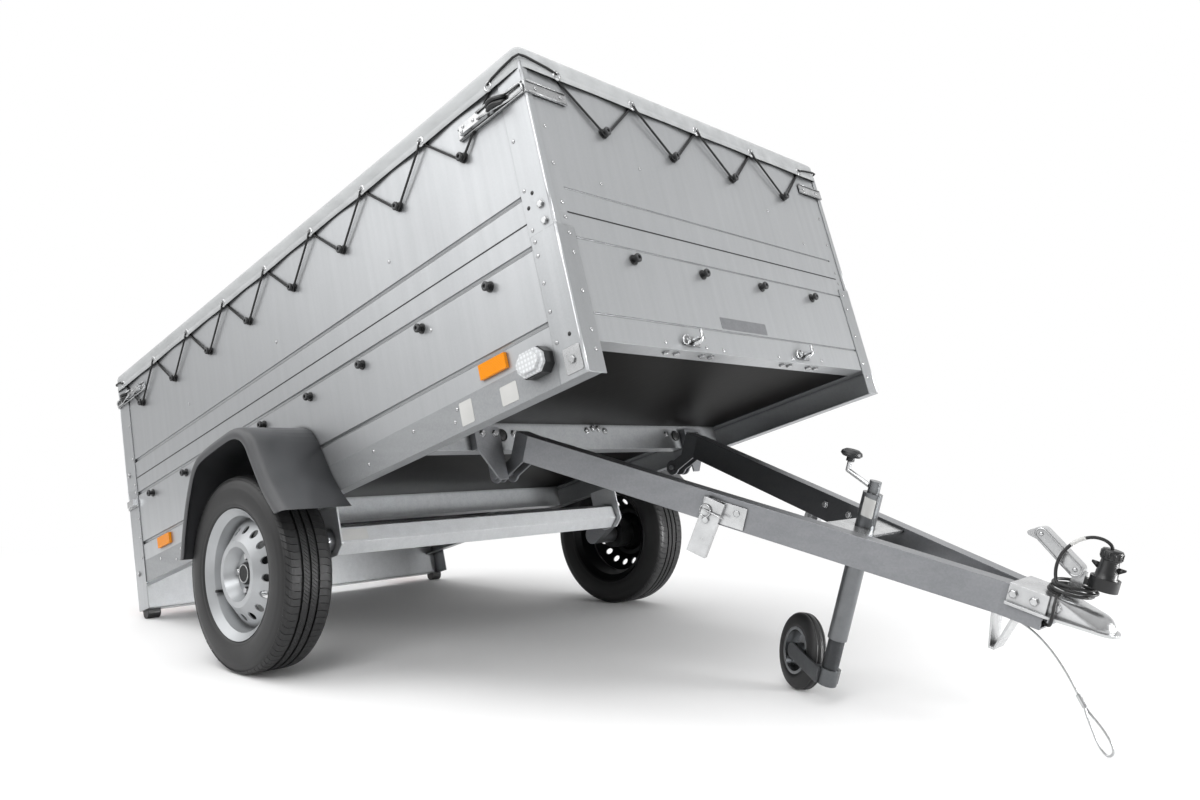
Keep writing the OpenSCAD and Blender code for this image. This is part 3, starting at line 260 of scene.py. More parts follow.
def rim_paint(name, dark, light, rim_shade_colour):
    """Silver paint with a fine flake on the wheel's outer side, and dark grey painted shade on its inner side
    and in its hollows.
    """
    made, tree, shader = start(name, 0.36, 0.6)
    slow = put(tree, "ShaderNodeTexNoise", {"Vector": place(tree, 140), "Scale": 1.0,
                                            "Detail": 5.0}).outputs["Fac"]
    flake = put(tree, "ShaderNodeTexNoise", {"Vector": place(tree, 0.65), "Scale": 1.0,
                                             "Detail": 2.0}).outputs["Fac"]
    tone = put(tree, "ShaderNodeValToRGB", {"Fac": slow}, [(0.3, srgb(dark)), (0.7, srgb(light))]).outputs[0]
    across = put(tree, "ShaderNodeSeparateXYZ", {"Vector": place(tree)}).outputs["Y"]
    away = put(tree, "ShaderNodeMath", {0: across}, operation="ABSOLUTE").outputs[0]
    half = put(tree, "ShaderNodeMapRange", {"Value": away, "From Min": TRACK / 2 - 4 * MM,
                                            "From Max": TRACK / 2 + 6 * MM}).outputs[0]
    faced = put(tree, "ShaderNodeMapRange", {"Value": turned_out(tree), "From Min": -0.3, "From Max": -0.1})
    unshaded_share = put(tree, "ShaderNodeMath", {0: half, 1: faced.outputs[0]}, operation="MULTIPLY").outputs[0]
    painted = put(tree, "ShaderNodeMix", {SHARE: unshaded_share, FIRST: srgb(rim_shade_colour), SECOND: tone},
                  data_type="RGBA").outputs[MIXED]
    gloss = put(tree, "ShaderNodeValToRGB", {"Fac": slow}, [(0.3, grey(0.32)), (0.7, grey(0.42))])
    wire(tree, shader, {"Base Color": painted_hollow_shade(tree, painted, 0.35, 20), "Roughness": gloss.outputs[0],
                        "Normal": relief(tree, flake, 0.1, 0.1, 1.0)})
    return made


def lens(name, colour, rib, glow):
    """Moulded lamp lens: rows of small domes, their spacing in mm, darker between them; a glow above 0 is
    painted light, as no lamp is lit in it.
    """
    made, tree, shader = start(name, 0.16)
    where = place(tree, rib, -BED_TILT)
    along = put(tree, "ShaderNodeTexWave", {"Vector": where, "Scale": BAND}).outputs["Fac"]
    upward = put(tree, "ShaderNodeTexWave", {"Vector": where, "Scale": BAND},
                 bands_direction="Z").outputs["Fac"]
    domes = put(tree, "ShaderNodeMath", {0: along, 1: upward}, operation="MULTIPLY").outputs[0]
    tone = put(tree, "ShaderNodeValToRGB", {"Fac": domes}, [(0.0, srgb(colour, 0.78)), (0.6, srgb(colour))])
    wire(tree, shader, {"Base Color": tone.outputs[0], "Specular IOR Level": 0.15,
                        "Emission Color": srgb(colour), "Emission Strength": glow,
                        "Normal": relief(tree, domes, 0.4, 1.2)})
    return made


def tarpaulin(name, dark, light, thread, crease):
    """Coated fabric: a plain weave under the coating, its thread spacing in mm, with soft creases."""
    made, tree, shader = start(name, 0.5)
    across = put(tree, "ShaderNodeTexWave", {"Vector": place(tree, thread, -BED_TILT), "Scale": BAND})
    along = put(tree, "ShaderNodeTexWave", {"Vector": place(tree, thread), "Scale": BAND},
                bands_direction="Y")
    weave = put(tree, "ShaderNodeMath", {0: across.outputs["Fac"], 1: along.outputs["Fac"]},
                operation="MULTIPLY")
    soft = put(tree, "ShaderNodeTexNoise", {"Vector": place(tree, crease), "Scale": 1.0,
                                            "Detail": 5.0}).outputs["Fac"]
    tone = put(tree, "ShaderNodeValToRGB", {"Fac": soft}, [(0.3, srgb(dark)), (0.72, srgb(light))])
    height = put(tree, "ShaderNodeMath", {0: soft, 1: 6.0, 2: weave.outputs[0]},
                 operation="MULTIPLY_ADD").outputs[0]
    wire(tree, shader, {"Base Color": tone.outputs[0], "Normal": relief(tree, height, 0.25, 1.1),
                        "Sheen Weight": 0.12})
    return made


def plywood(name, dark, light, grain):
    """Film-faced plywood: a dark resin film that shows the grain under it."""
    made, tree, shader = start(name, 0.4)
    lines = put(tree, "ShaderNodeTexNoise", {"Vector": place(tree, grain), "Scale": 1.0,
                                             "Detail": 8.0}).outputs["Fac"]
    tone = put(tree, "ShaderNodeValToRGB", {"Fac": lines}, [(0.3, srgb(dark)), (0.75, srgb(light))])
    wire(tree, shader, {"Base Color": tone.outputs[0], "Specular IOR Level": 0.03,
                        "Normal": relief(tree, lines, 0.2, 0.8)})
    return made


# Streaks in mm along X, Y and Z: down a sheet, along a rolled profile, short all ways on plated parts
SHEET_STREAK, ROLL_STREAK, FINE_STREAK = (22, 22, 625), (650, 25, 25), 33
# Spangle is typically 1 to 2 mm and moulded grain under 0.3 mm: both are drawn coarser, to show
finish = {
    # Cold-rolled galvanised sheet: pale and almost even, with faint streaks down the panel and painted shade
    # in its seams
    "zinc_sheet": zinc("galvanised_sheet", "#aeb0b2", "#babcbe", 0.34, 0.75, 3.1, SHEET_STREAK, 0.15,
                       turn=-BED_TILT, fold=1.2, crease=0.12),
    # Hot-dip galvanised steel: a darker grey with a plain spangle and soft, wide highlights
    "zinc_frame": zinc("hot_dip_galvanised_steel", "#85878a", "#98999c", 0.36, 0.85, 4.2, ROLL_STREAK,
                       0.25, fold=2.0),
    # Bright zinc plate: light, with sharp highlights along the edges
    "bright_zinc": zinc("bright_zinc_plate", "#a9aaab", "#d0d1d2", 0.26, 0.92, 3.8, FINE_STREAK, 0.08,
                        fold=1.2),
    # Film-faced birch plywood: nearly black, with long faint grain
    "dark_plywood": plywood("film_faced_plywood", "#080707", "#121110", (170, 10, 10)),
    # PVC-coated polyester: a matt light grey, taut, with shallow creases; its weave,
    # typically about 1 mm, is drawn at 2 mm, to show
    "cover_fabric": tarpaulin("coated_tarpaulin", "#9b9d9e", "#adafb0", 2, (150, 50, 50)),
    # Moulded polypropylene: dark grey with a satin grain
    "guard_plastic": plastic("satin_mudguard_plastic", "#37383a", "#434446", 0.42, 1.1, 0.4),
    # Moulded polyamide: black with a slight shine
    "black_plastic": plastic("black_plastic", "#0e0e0f", "#1a1b1c", 0.36, 1.4, 0.3),
    # Moulded rubber: black and matt
    "black_rubber": plastic("black_rubber", "#0d0d0d", "#1a1a1b", 0.48, 2, 0.4),
    # Tyre rubber: black, matt and a little uneven
    "tyre_rubber": plastic("tyre_rubber", "#0f0f10", "#1b1b1c", 0.5, 2.4, 0.5, fold=0.6),
    # Sprayed steel wheel: silver with a fine flake, with dark grey painted shade inside
    "wheel_paint": rim_paint("silver_wheel_paint", "#9c9ea0", "#b0b2b4", "#1b1c1d"),
    # Forged hub steel: almost black with dull highlights
    "hub_steel": zinc("dark_hub_steel", "#1c1d1e", "#303132", 0.45, 0.5, 4.5, FINE_STREAK, 0.4),
    # Moulded acrylic: rows of domes, typically about 3 mm apart, drawn coarser on the white ones, to show
    "white_lens": lens("white_lens", "#cfd1d3", 10.5, 0.0),
    # The amber lens has a faint painted glow
    "amber_lens": lens("amber_lens", "#e08600", 3.5, 0.1),
    "red_lens": lens("red_lens", "#8f1210", 3.5, 0.0),
}
# Plastic label film: off-white and smooth
white_plate = plastic("blank_white_plate", "#b0b0ae", "#bebebc", 0.4, 1.7, 0.1)
# Braided elastic rope: black and rough
rope_black = plastic("black_elastic_rope", "#0d0d0e", "#202021", 0.7, 0.6, 0.9)
# Smooth outer tube, dull inner leg and pressed fork of the jockey: three greys of plated steel, the leg's
# darker grey being painted shade below the arm
tube_zinc = zinc("satin_zinc_tube", "#66686a", "#7a7c7e", 0.3, 0.8, 3.8, FINE_STREAK, 0.08)
dull_shaded_zinc = zinc("dull_shaded_zinc_tube", "#3c3d3f", "#4e5052", 0.5, 0.85, 3.8, FINE_STREAK, 0.15)
fork_zinc = zinc("pressed_zinc_fork", "#57595b", "#6c6e70", 0.34, 0.85, 3.8, FINE_STREAK, 0.15)
# Pressed rim of the jockey wheel: polished, with strong reflections
dish_zinc = zinc("bright_zinc_dish", "#7c7e80", "#a0a2a4", 0.16, 0.95, 3.8, FINE_STREAK, 0.08)
# Drawbar arms: mid grey outside, with painted shade darkening their inner sides
arm_zinc = zinc("drawbar_zinc", "#7d7f82", "#8f9093", 0.36, 0.85, 4.2, ROLL_STREAK, 0.25, fold=2.0,
                inner_shade_share=0.4)
# Folded posts: as pale as the sheet, with wide folds, and a paler zinc on the folds themselves as a painted
# highlight
post_zinc = zinc("folded_post_zinc", "#a8aaac", "#b7b9bb", 0.32, 0.85, 3.1, SHEET_STREAK, 0.2,
                 turn=-BED_TILT, fold=3.0)
fold_highlight_zinc = zinc("rolled_fold_zinc", "#b9bbbd", "#c9cbcd", 0.34, 0.8, 3.1, FINE_STREAK, 0.05, fold=0.0,
                 crease=1.0)
# A pale, matt zinc on the axle and the lamp panel, its paleness painted light where they sit low under the
# bed, and a greyer one on rails and cross members
pale_lit_zinc = zinc("pale_lit_galvanised_steel", "#b4b6b8", "#c6c8ca", 0.44, 0.35, 4.2, ROLL_STREAK, 0.25,
                  fold=2.0)
member_zinc = zinc("rolled_member_zinc", "#8d8f91", "#a0a2a4", 0.42, 0.6, 4.2, ROLL_STREAK, 0.25, fold=2.0)

node_finish = {"jockey_tube": tube_zinc, "jockey_leg": dull_shaded_zinc, "jockey_fork": fork_zinc,
               "jockey_rim": dish_zinc, "drawbar_arm_right": arm_zinc, "drawbar_arm_left": arm_zinc,
               "cross_members": member_zinc, "frame_rails": member_zinc, "axle_beam": pale_lit_zinc,
               "lamp_panel": pale_lit_zinc, "corner_posts": post_zinc}
slot_of = {subpart["node"]: subpart["material_slot"] for subpart in record["subparts"]}
for name, node in frame["nodes"].items():
    node.data.materials.clear()
    node.data.materials.append(node_finish.get(name, finish[slot_of[name]]))


# Mesh helpers: a shape is a list of vertices and a list of faces
def settle(name, mesh, material, body, smooth=True):
    """Gives a mesh its finish, turns its faces outwards and makes it a piece that rides on a body."""
    mesh.materials.clear()
    mesh.materials.append(material)
    shape = bmesh.new()
    shape.from_mesh(mesh)
    bmesh.ops.recalc_face_normals(shape, faces=shape.faces)
    shape.to_mesh(mesh)
    shape.free()
    if smooth:
        mesh.shade_smooth()
    mesh.update()
    made = bpy.data.objects.new(name, mesh)
    scene.collection.objects.link(made)
    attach(made, body)
    return made


def mesh_of(name, shape):
    mesh = bpy.data.meshes.new(name)
    mesh.from_pydata([tuple(v) for v in shape[0]], [], shape[1])
    return mesh


def piece(name, shape, material, body, smooth=True):
    """A piece from a shape in the row's frame."""
    return settle(name, mesh_of(name, shape), material, body, smooth)


def skin(rings, caps=(True, True), looped=False):
    """A skin over rings of points, each end closed or open, or the last ring joined to the first."""
    n, last = len(rings[0]), len(rings) - 1
    pairs = [(i, i + 1) for i in range(last)] + ([(last, 0)] if looped else [])
    faces = [(a * n + k, a * n + (k + 1) % n, b * n + (k + 1) % n, b * n + k)
             for a, b in pairs for k in range(n)]
    faces += [tuple(range(end * n, end * n + n)) for end, shut in zip((0, last), caps) if shut]
    return [p for ring in rings for p in ring], faces


def moved(shape, matrix):
    return [matrix @ Vector(v) for v in shape[0]], shape[1]


def joined(shapes):
    verts, faces = [], []
    for more_verts, more_faces in shapes:
        faces += [[i + len(verts) for i in face] for face in more_faces]
        verts += list(more_verts)
    return verts, faces


def circle(count, first=0.0):
    """Angles spaced evenly round a circle."""
    return [first + 2 * math.pi * k / count for k in range(count)]


def lathe(profile, count, caps=True):
    """A turned piece about +Z from (radius, height) pairs, from its foot up."""
    return skin([[(r * math.cos(t), r * math.sin(t), z) for t in circle(count)] for r, z in profile],
                (caps, caps))


def turned(profile, count):
    """A ring turned about +Z from a closed outline of (radius, height) pairs."""
    return skin([[(r * math.cos(t), r * math.sin(t), z) for r, z in profile] for t in circle(count)],
                (False, False), looped=True)


def brick(low, high):
    """A small block between two corners."""
    (x0, y0, z0), (x1, y1, z1) = low, high
    return skin([[(x0, y0, z), (x1, y0, z), (x1, y1, z), (x0, y1, z)] for z in (z0, z1)])


def tubes(paths, radius, sides=8):
    """Round tubes along several open paths."""
    shapes = []
    for path in paths:
        rings, guide = [], Vector((0.31, 0.52, 0.79))
        for i, p in enumerate(path):
            ahead = (path[min(i + 1, len(path) - 1)] - path[max(i - 1, 0)]).normalized()
            across = ahead.cross(guide).normalized()
            guide = across.cross(ahead)
            rings.append([p + radius * (math.cos(t) * across + math.sin(t) * guide) for t in circle(sides)])
        shapes.append(skin(rings))
    return joined(shapes)


def plate(matrix, middle, outward, size, thick):
    """A thin plate with its corners cut: middle on the wall, facing outward."""
    turn, base = facing(matrix, outward), matrix @ Vector(middle)
    w, h = size[0] / 2, size[1] / 2
    c = min(w, h) * 0.12
    edge = [(-w + c, -h), (w - c, -h), (w, -h + c), (w, h - c),
            (w - c, h), (-w + c, h), (-w, h - c), (-w, -h + c)]
    return skin([[base + turn @ Vector((x, y, z)) for x, y in edge] for z in (-0.2 * MM, thick)],
                (False, True))


def smooth_path(points, spacing):
    """A Catmull-Rom curve through the points, sampled at about that spacing."""
    points = [Vector(p) for p in points]
    full = [2 * points[0] - points[1]] + points + [2 * points[-1] - points[-2]]
    out = []
    for a, b, c, d in zip(full, full[1:], full[2:], full[3:]):
        steps = max(1, round((c - b).length / spacing))
        for k in range(steps):
            t = k / steps
            out.append(0.5 * (2 * b + (c - a) * t + (2 * a - 5 * b + 4 * c - d) * t * t
                              + (3 * b - a - 3 * c + d) * t ** 3))
    return out + [points[-1]]


def cord_piece(name, points, diameter, material, body):
    """A round cord as a curve of one open spline."""
    data = bpy.data.curves.new(name, "CURVE")
    data.dimensions = "3D"
    data.bevel_depth, data.bevel_resolution, data.use_fill_caps = diameter / 2, 3, True
    line = data.splines.new("POLY")
    line.points.add(len(points) - 1)
    for spot, p in zip(line.points, points):
        spot.co = (*p, 1)
    data.materials.append(material)
    made = bpy.data.objects.new(name, data)
    scene.collection.objects.link(made)
    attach(made, body)
    return made


# Plug on the lead: a stepped body, a ribbed nut and two ears, in (radius, height) pairs from its foot
PLUG_BODY = [(0.0240, 0.0), (0.0248, 0.003), (0.0240, 0.022), (0.0222, 0.024), (0.0214, 0.034),
             (0.0196, 0.040), (0.0178, 0.058), (0.0172, 0.0604), (0.0204, 0.0606), (0.0212, 0.063),
             (0.0212, 0.078), (0.0196, 0.0812), (0.0110, 0.0818)]
PLUG_RIB = ((0.0206, -0.0021, 0.0645), (0.0226, 0.0021, 0.0770))
PLUG_RIBS = 12
PLUG_EAR = ((0.018, -0.003, 0.034), (0.033, 0.003, 0.049))
EAR_ROOT, EAR_TIP_LOW = 0.02, 0.045


def plug_shape():
    shapes = [lathe(PLUG_BODY, 32)]
    shapes += [moved(brick(*PLUG_RIB), Matrix.Rotation(t, 4, "Z")) for t in circle(PLUG_RIBS)]
    ear_top = PLUG_EAR[1][2]
    for s in SIDES:
        verts, faces = brick(*PLUG_EAR)
        verts = [(s * x, s * y, z if x < EAR_ROOT or z == ear_top else EAR_TIP_LOW) for x, y, z in verts]
        shapes.append((verts, faces))
    return moved(joined(shapes), bar_matrix @ Matrix.Translation((PLUG_X, 0, PLUG_LOW)))


# Electric lead: out of the arm, wound round the handle's foot, then over to the plug
LEAD_D = 0.007
COIL_R, COIL_LOOSE, COIL_LOW, COIL_PITCH, COIL_TIP = 0.0428, 0.0034, 0.1395, 0.0074, 0.0035
COIL_START, COIL_SWEEP, COIL_STEP = -108, 1104, 15
lead_tail = [(1.322, -0.050, 0.072), (1.332, -0.056, 0.071), (1.340, -0.066, 0.075), (1.343, -0.073, 0.085),
             (1.343, -0.074, 0.098), (1.341, -0.071, 0.112), (1.339, -0.065, 0.125), (1.337, -0.056, 0.135)]
lead_turns = []
for degrees in range(0, COIL_SWEEP, COIL_STEP):
    around = math.radians(COIL_START - degrees)
    rise = COIL_LOW + COIL_PITCH * degrees / 360 + COIL_TIP * math.sin(around + 0.9)
    reach = COIL_R + COIL_LOOSE * math.sin(1.37 * around)
    lead_turns.append((COIL_X + reach * math.cos(around), reach * math.sin(around), rise))
lead_arch = [(1.316, -0.032, 0.176), (1.314, -0.031, 0.198), (1.318, -0.029, 0.220), (1.328, -0.024, 0.241),
             (1.343, -0.017, 0.258), (1.362, -0.009, 0.268), (1.381, -0.004, 0.269), (1.395, -0.001, 0.263),
             (1.401, 0, 0.254), (1.402, 0, 0.248)]
lead_line = smooth_path(lead_tail + lead_turns + lead_arch, 0.004)
lead_path = [bar(*p) for p in lead_line]
plug = piece("lead_plug_body", plug_shape(), finish["black_plastic"], "drawbar")
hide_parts("lead_plug")
lead = cord_piece("electric_lead", lead_path, LEAD_D, finish["black_rubber"], "drawbar")
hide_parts("lead_tube", "lead_coil")

# Safety wire: out from under the arms to its ferrule and end loop
WIRE_D = 0.005
wire_points = [(1.2584, 0, 0.044), (1.275, 0, 0.0393), (1.295, 0, 0.0326), (1.315, 0, 0.0234),
               (1.335, 0, 0.0112), (1.355, 0, -0.0036), (1.375, 0, -0.0208), (1.393, 0, -0.0385),
               (1.411, 0.001, -0.058), (1.430, 0.0028, -0.077), (1.444, 0.003, -0.088),
               (1.458, 0.003, -0.097), (1.474, 0.002, -0.108), (1.490, 0.001, -0.122), (1.500, 0, -0.136),
               (1.501, 0, -0.147), (1.494, 0, -0.153), (1.483, 0, -0.149), (1.470, -0.001, -0.136),
               (1.458, -0.002, -0.120), (1.446, -0.003, -0.103), (1.436, -0.003, -0.088),
               (1.430, -0.0028, -0.077)]
wire_path = [bar(*p) for p in smooth_path(wire_points, 0.006)]
safety_cable = cord_piece("safety_cable", wire_path, WIRE_D, finish["bright_zinc"], "drawbar")
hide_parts("safety_wire")


# One tree repeats a small piece at marked places
def repeat_tree():
    tree = bpy.data.node_groups.new("repeat_piece", "GeometryNodeTree")
    for socket, way, kind in (("Places", "INPUT", "Geometry"), ("Piece", "INPUT", "Object"),
                              ("Finish", "INPUT", "Material"), ("Result", "OUTPUT", "Geometry")):
        tree.interface.new_socket(socket, in_out=way, socket_type="NodeSocket" + kind)
    given = put(tree, "NodeGroupInput").outputs
    source = put(tree, "GeometryNodeObjectInfo", {"Object": given["Piece"]}).outputs["Geometry"]
    turn = put(tree, "GeometryNodeInputNamedAttribute", {"Name": "turn"}, data_type="FLOAT_VECTOR")
    euler = put(tree, "FunctionNodeEulerToRotation", {"Euler": turn.outputs["Attribute"]}).outputs["Rotation"]
    copies = put(tree, "GeometryNodeInstanceOnPoints", {"Points": given["Places"], "Instance": source,
                                                        "Rotation": euler}).outputs["Instances"]
    real = put(tree, "GeometryNodeRealizeInstances", {"Geometry": copies}).outputs["Geometry"]
    painted = put(tree, "GeometryNodeSetMaterial", {"Geometry": real, "Material": given["Finish"]})
    put(tree, "NodeGroupOutput", {"Result": painted.outputs["Geometry"]})
    return tree


repeater = repeat_tree()
socket_id = {item.name: item.identifier for item in repeater.interface.items_tree}


def repeat(name, shape, places, material, body, smooth=True):
    """Copies of a small shape at (position, 3x3 turn) places, as one plain mesh."""
    one = bpy.data.objects.new(name + "_one", mesh_of(name + "_one", shape))
    dots = mesh_of(name + "_places", ([position for position, _ in places], []))
    turns = dots.attributes.new("turn", "FLOAT_VECTOR", "POINT")
    for item, (_, turn) in zip(turns.data, places):
        item.vector = turn.to_euler()
    carrier = bpy.data.objects.new(name + "_places", dots)
    for helper in (one, carrier):
        scene.collection.objects.link(helper)
    modifier = carrier.modifiers.new("repeat", "NODES")
    modifier.node_group = repeater
    modifier[socket_id["Piece"]] = one
    modifier[socket_id["Finish"]] = material
    bpy.context.view_layer.update()
    mesh = bpy.data.meshes.new_from_object(carrier.evaluated_get(bpy.context.evaluated_depsgraph_get()))
    for helper in (carrier, one):
        bpy.data.objects.remove(helper)
    return settle(name, mesh, material, body, smooth)


# Cover: one sheet over the bows, with a rolled hem, rings and an elastic rope
COVER_LOW = COVER_TOP - COVER_SKIRT
COVER_Y = POST_Y + COVER_OUT
COVER_CORNER, COVER_CORNER_LEAST, CORNER_STEPS = 0.022, 0.002, 4
COVER_STEPS_X, COVER_STEPS_Y = 96, 56
HEM_SWING, HEM_DRIFT, HEM_DROP = 0.0022, 0.0012, 0.0026
COVER_SAG, BOW_SPANS = 0.005, 4
# How far in from the edge and how far above the top each ring of the sheet lies, from the hem to the middle
COVER_RINGS = [(0.0, -COVER_SKIRT), (-0.0012, -0.056), (0.0, -0.047), (0.0006, -0.045), (0.0, -0.042),
               (0.0, -0.024), (0.0008, -0.012), (0.004, -0.004), (0.010, -0.001), (0.03, 0.0),
               (0.10, 0.001), (0.22, 0.002), (0.36, 0.003), (0.5, 0.004), (0.6, 0.004), (0.665, 0.004)]


def cover_ring(inset):
    """Points round the cover, its corners rounded: (x, y, outward x, outward y)."""
    x0, x1, y1 = -BED_LENGTH - COVER_OUT + inset, COVER_OUT - inset, COVER_Y - inset
    r = min(max(COVER_CORNER_LEAST, COVER_CORNER - inset), y1)
    corners = [(x1 - r, -y1 + r, -90), (x1 - r, y1 - r, 0), (x0 + r, y1 - r, 90), (x0 + r, -y1 + r, 180)]
    ring = []
    for i, (cx, cy, angle) in enumerate(corners):
        for k in range(CORNER_STEPS + 1):
            t = math.radians(angle + 90 * k / CORNER_STEPS)
            ring.append((cx + r * math.cos(t), cy + r * math.sin(t), math.cos(t), math.sin(t)))
        next_x, next_y, next_angle = corners[(i + 1) % 4]
        t = math.radians(next_angle)
        from_x, from_y = ring[-1][:2]
        to_x, to_y = next_x + r * math.cos(t), next_y + r * math.sin(t)
        steps = COVER_STEPS_X if i % 2 else COVER_STEPS_Y
        for k in range(1, steps):
            s = k / steps
            ring.append((from_x + (to_x - from_x) * s, from_y + (to_y - from_y) * s,
                         math.cos(t), math.sin(t)))
    return ring


def hem_wave(x, y, z):
    """How far the hem swings out and down between its rings."""
    on_side = abs(y) > POST_Y - 0.01
    phase = (x + HOOK_FIRST - HOOK_SPAN / 2) / HOOK_SPAN if on_side else y / HOOK_SPAN_END
    beat = math.cos(2 * math.pi * phase)
    low = max(0.0, 1 - (z - COVER_LOW) / COVER_SKIRT)
    drift = 0.4 * math.sin(7.3 * x + 2.1 * y) + 0.3 * math.sin(13.1 * x - 5.7 * y)
    return low * (HEM_SWING * beat + HEM_DRIFT * drift), low * HEM_DROP * (beat + drift)


def cover_shape():
    rings = []
    for inset, above in COVER_RINGS:
        height, ring = COVER_TOP + above, []
        for x, y, out_x, out_y in cover_ring(inset):
            out, down = hem_wave(x, y, height)
            if inset > 0.01:
                between_bows = 0.5 + 0.5 * math.cos(2 * math.pi * x / BED_LENGTH * BOW_SPANS)
                down += COVER_SAG * between_bows * min(1, inset / 0.2)
            ring.append(bed(x + out_x * out, y + out_y * out, height - down))
        rings.append(ring)
    return skin(rings, (False, True))


cover = piece("tarpaulin_cover", cover_shape(), finish["cover_fabric"], "bed")
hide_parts("cover")

# Rings in the hem, half way between the hooks
EYELET_Z, EYELET_PROUD = COVER_TOP - 0.052, 0.0015
EYELET = [(0.007, -0.002), (0.0075, 0.0022), (0.0105, 0.0034), (0.0135, 0.002), (0.014, -0.001)]
side_hooks = [HOOK_FIRST + HOOK_SPAN * i for i in range(HOOK_COUNT)]
end_hooks = [(i - (HOOK_COUNT_END - 1) / 2) * HOOK_SPAN_END for i in range(HOOK_COUNT_END)]
side_rings = [HOOK_FIRST + HOOK_SPAN * (i - 0.5) for i in range(HOOK_COUNT + 1)]
end_rings = [(i - HOOK_COUNT_END / 2) * HOOK_SPAN_END for i in range(HOOK_COUNT_END + 1)]
eyelets = [(bed(-u, s * (COVER_Y + EYELET_PROUD), EYELET_Z), side_wall[s]) for s in SIDES for u in side_rings]
eyelets += [(bed(x, v, EYELET_Z), wall) for v in end_rings
            for x, wall in ((COVER_OUT + EYELET_PROUD, front_wall),
                            (-BED_LENGTH - COVER_OUT - EYELET_PROUD, rear_wall))]
rings = repeat("cover_eyelets", lathe(EYELET, 20, caps=False), eyelets, finish["bright_zinc"], "bed")

# Elastic rope from ring to hook to ring, and round the corners
ROPE_R = 0.003
ROPE_AT_HOOK, ROPE_OFF_SKIN = HOOK_STEM + ROPE_R + 0.0002, 0.0045


def lacing(ring_places, hook_places, at, skin_out, hem_out):
    """The rope on one wall, with each leg down from a ring outside the hem and each leg up behind it,
    but the first one behind too. at(along, out, z) gives a point on the wall."""
    path = []
    for i, hook in enumerate(hook_places):
        a, b = ring_places[i], ring_places[i + 1]
        step = math.copysign(1, b - a)
        if i == 0:
            path += [at(a, hem_out - 0.002, EYELET_Z),
                     at(a + step * 0.006, skin_out + 0.0038, EYELET_Z - 0.004),
                     at(a + step * 0.016, skin_out + ROPE_OFF_SKIN, COVER_LOW - 0.008)]
        else:
            path += [at(a, hem_out + 0.001, EYELET_Z),
                     at(a + step * 0.004, hem_out + 0.0045, EYELET_Z - 0.004),
                     at(a + step * 0.012, hem_out + 0.004, COVER_LOW - 0.006)]
        path.append(at(hook - step * 0.010, skin_out + HOOK_MID, HOOK_Z - 0.001))
        for t in [math.radians(degrees) for degrees in (-60, -30, 0, 30, 60)]:
            path.append(at(hook + step * ROPE_AT_HOOK * math.sin(t), skin_out + HOOK_MID,
                           HOOK_Z - ROPE_AT_HOOK * math.cos(t)))
        path += [at(hook + step * 0.010, skin_out + HOOK_MID, HOOK_Z - 0.001),
                 at(b - step * 0.016, skin_out + ROPE_OFF_SKIN, COVER_LOW - 0.008),
                 at(b - step * 0.006, skin_out + 0.0038, EYELET_Z - 0.004), at(b, hem_out - 0.002, EYELET_Z)]
    return path


def corner_rope(s, ahead):
    """The rope round one corner of the cover, from the last ring on the side to the first on the end."""
    x_end = COVER_OUT if ahead > 0 else -BED_LENGTH - COVER_OUT
    x_ring = -side_rings[0] if ahead > 0 else -side_rings[-1]
    v_ring = end_rings[-1]
    z = COVER_TOP - 0.036
    return [bed(x_ring, s * (COVER_Y + 0.003), EYELET_Z + 0.004),
            bed(x_ring + ahead * 0.02, s * (COVER_Y + 0.0035), EYELET_Z + 0.010),
            bed(x_end - ahead * 0.05, s * (COVER_Y + 0.0035), z),
            bed(x_end - ahead * 0.015, s * (COVER_Y + 0.003), z + 0.003),
            bed(x_end, s * (COVER_Y - 0.002), z + 0.004),
            bed(x_end + ahead * 0.003, s * (COVER_Y - 0.02), z + 0.003),
            bed(x_end + ahead * 0.0035, s * (v_ring + 0.03), EYELET_Z + 0.010),
            bed(x_end + ahead * 0.003, s * v_ring, EYELET_Z + 0.003)]


ropes = [lacing(side_rings, side_hooks, lambda u, out, z, s=s: bed(-u, s * out, z), SKIN_Y, COVER_Y)
         for s in SIDES]
ropes.append(lacing(end_rings, end_hooks, lambda v, out, z: bed(out, v, z), -SHEET, COVER_OUT))
ropes.append(lacing(end_rings, end_hooks, lambda v, out, z: bed(-BED_LENGTH - out, v, z), -SHEET, COVER_OUT))
ropes += [corner_rope(s, ahead) for s in SIDES for ahead in (1, -1)]
rope = piece("cover_rope", tubes(ropes, ROPE_R), rope_black, "bed")

# Road tyres: a turned carcass and tread blocks
HALF = TYRE_W / 2
LIP = RIM_R + 0.6 * MM
TREAD_DEPTH, TREAD_ROOT = 0.0068, 0.004
BEAD_R, BEAD_HALF = 0.1665, 0.0512
# The sidewall as shares of the tyre's height above the rim's lip and of its half width
SIDE_SHARES = [(0.02, 0.9), (0.07, 0.945), (0.10, 0.952), (0.115, 0.948), (0.16, 0.972), (0.24, 0.99),
               (0.34, 0.998), (0.46, 0.996), (0.58, 0.985), (0.66, 0.972), (0.675, 0.964), (0.74, 0.95),
               (0.80, 0.925), (0.86, 0.89), (0.90, 0.84), (0.92, 0.76), (0.925, 0.6), (0.925, 0.3),
               (0.925, 0.0)]
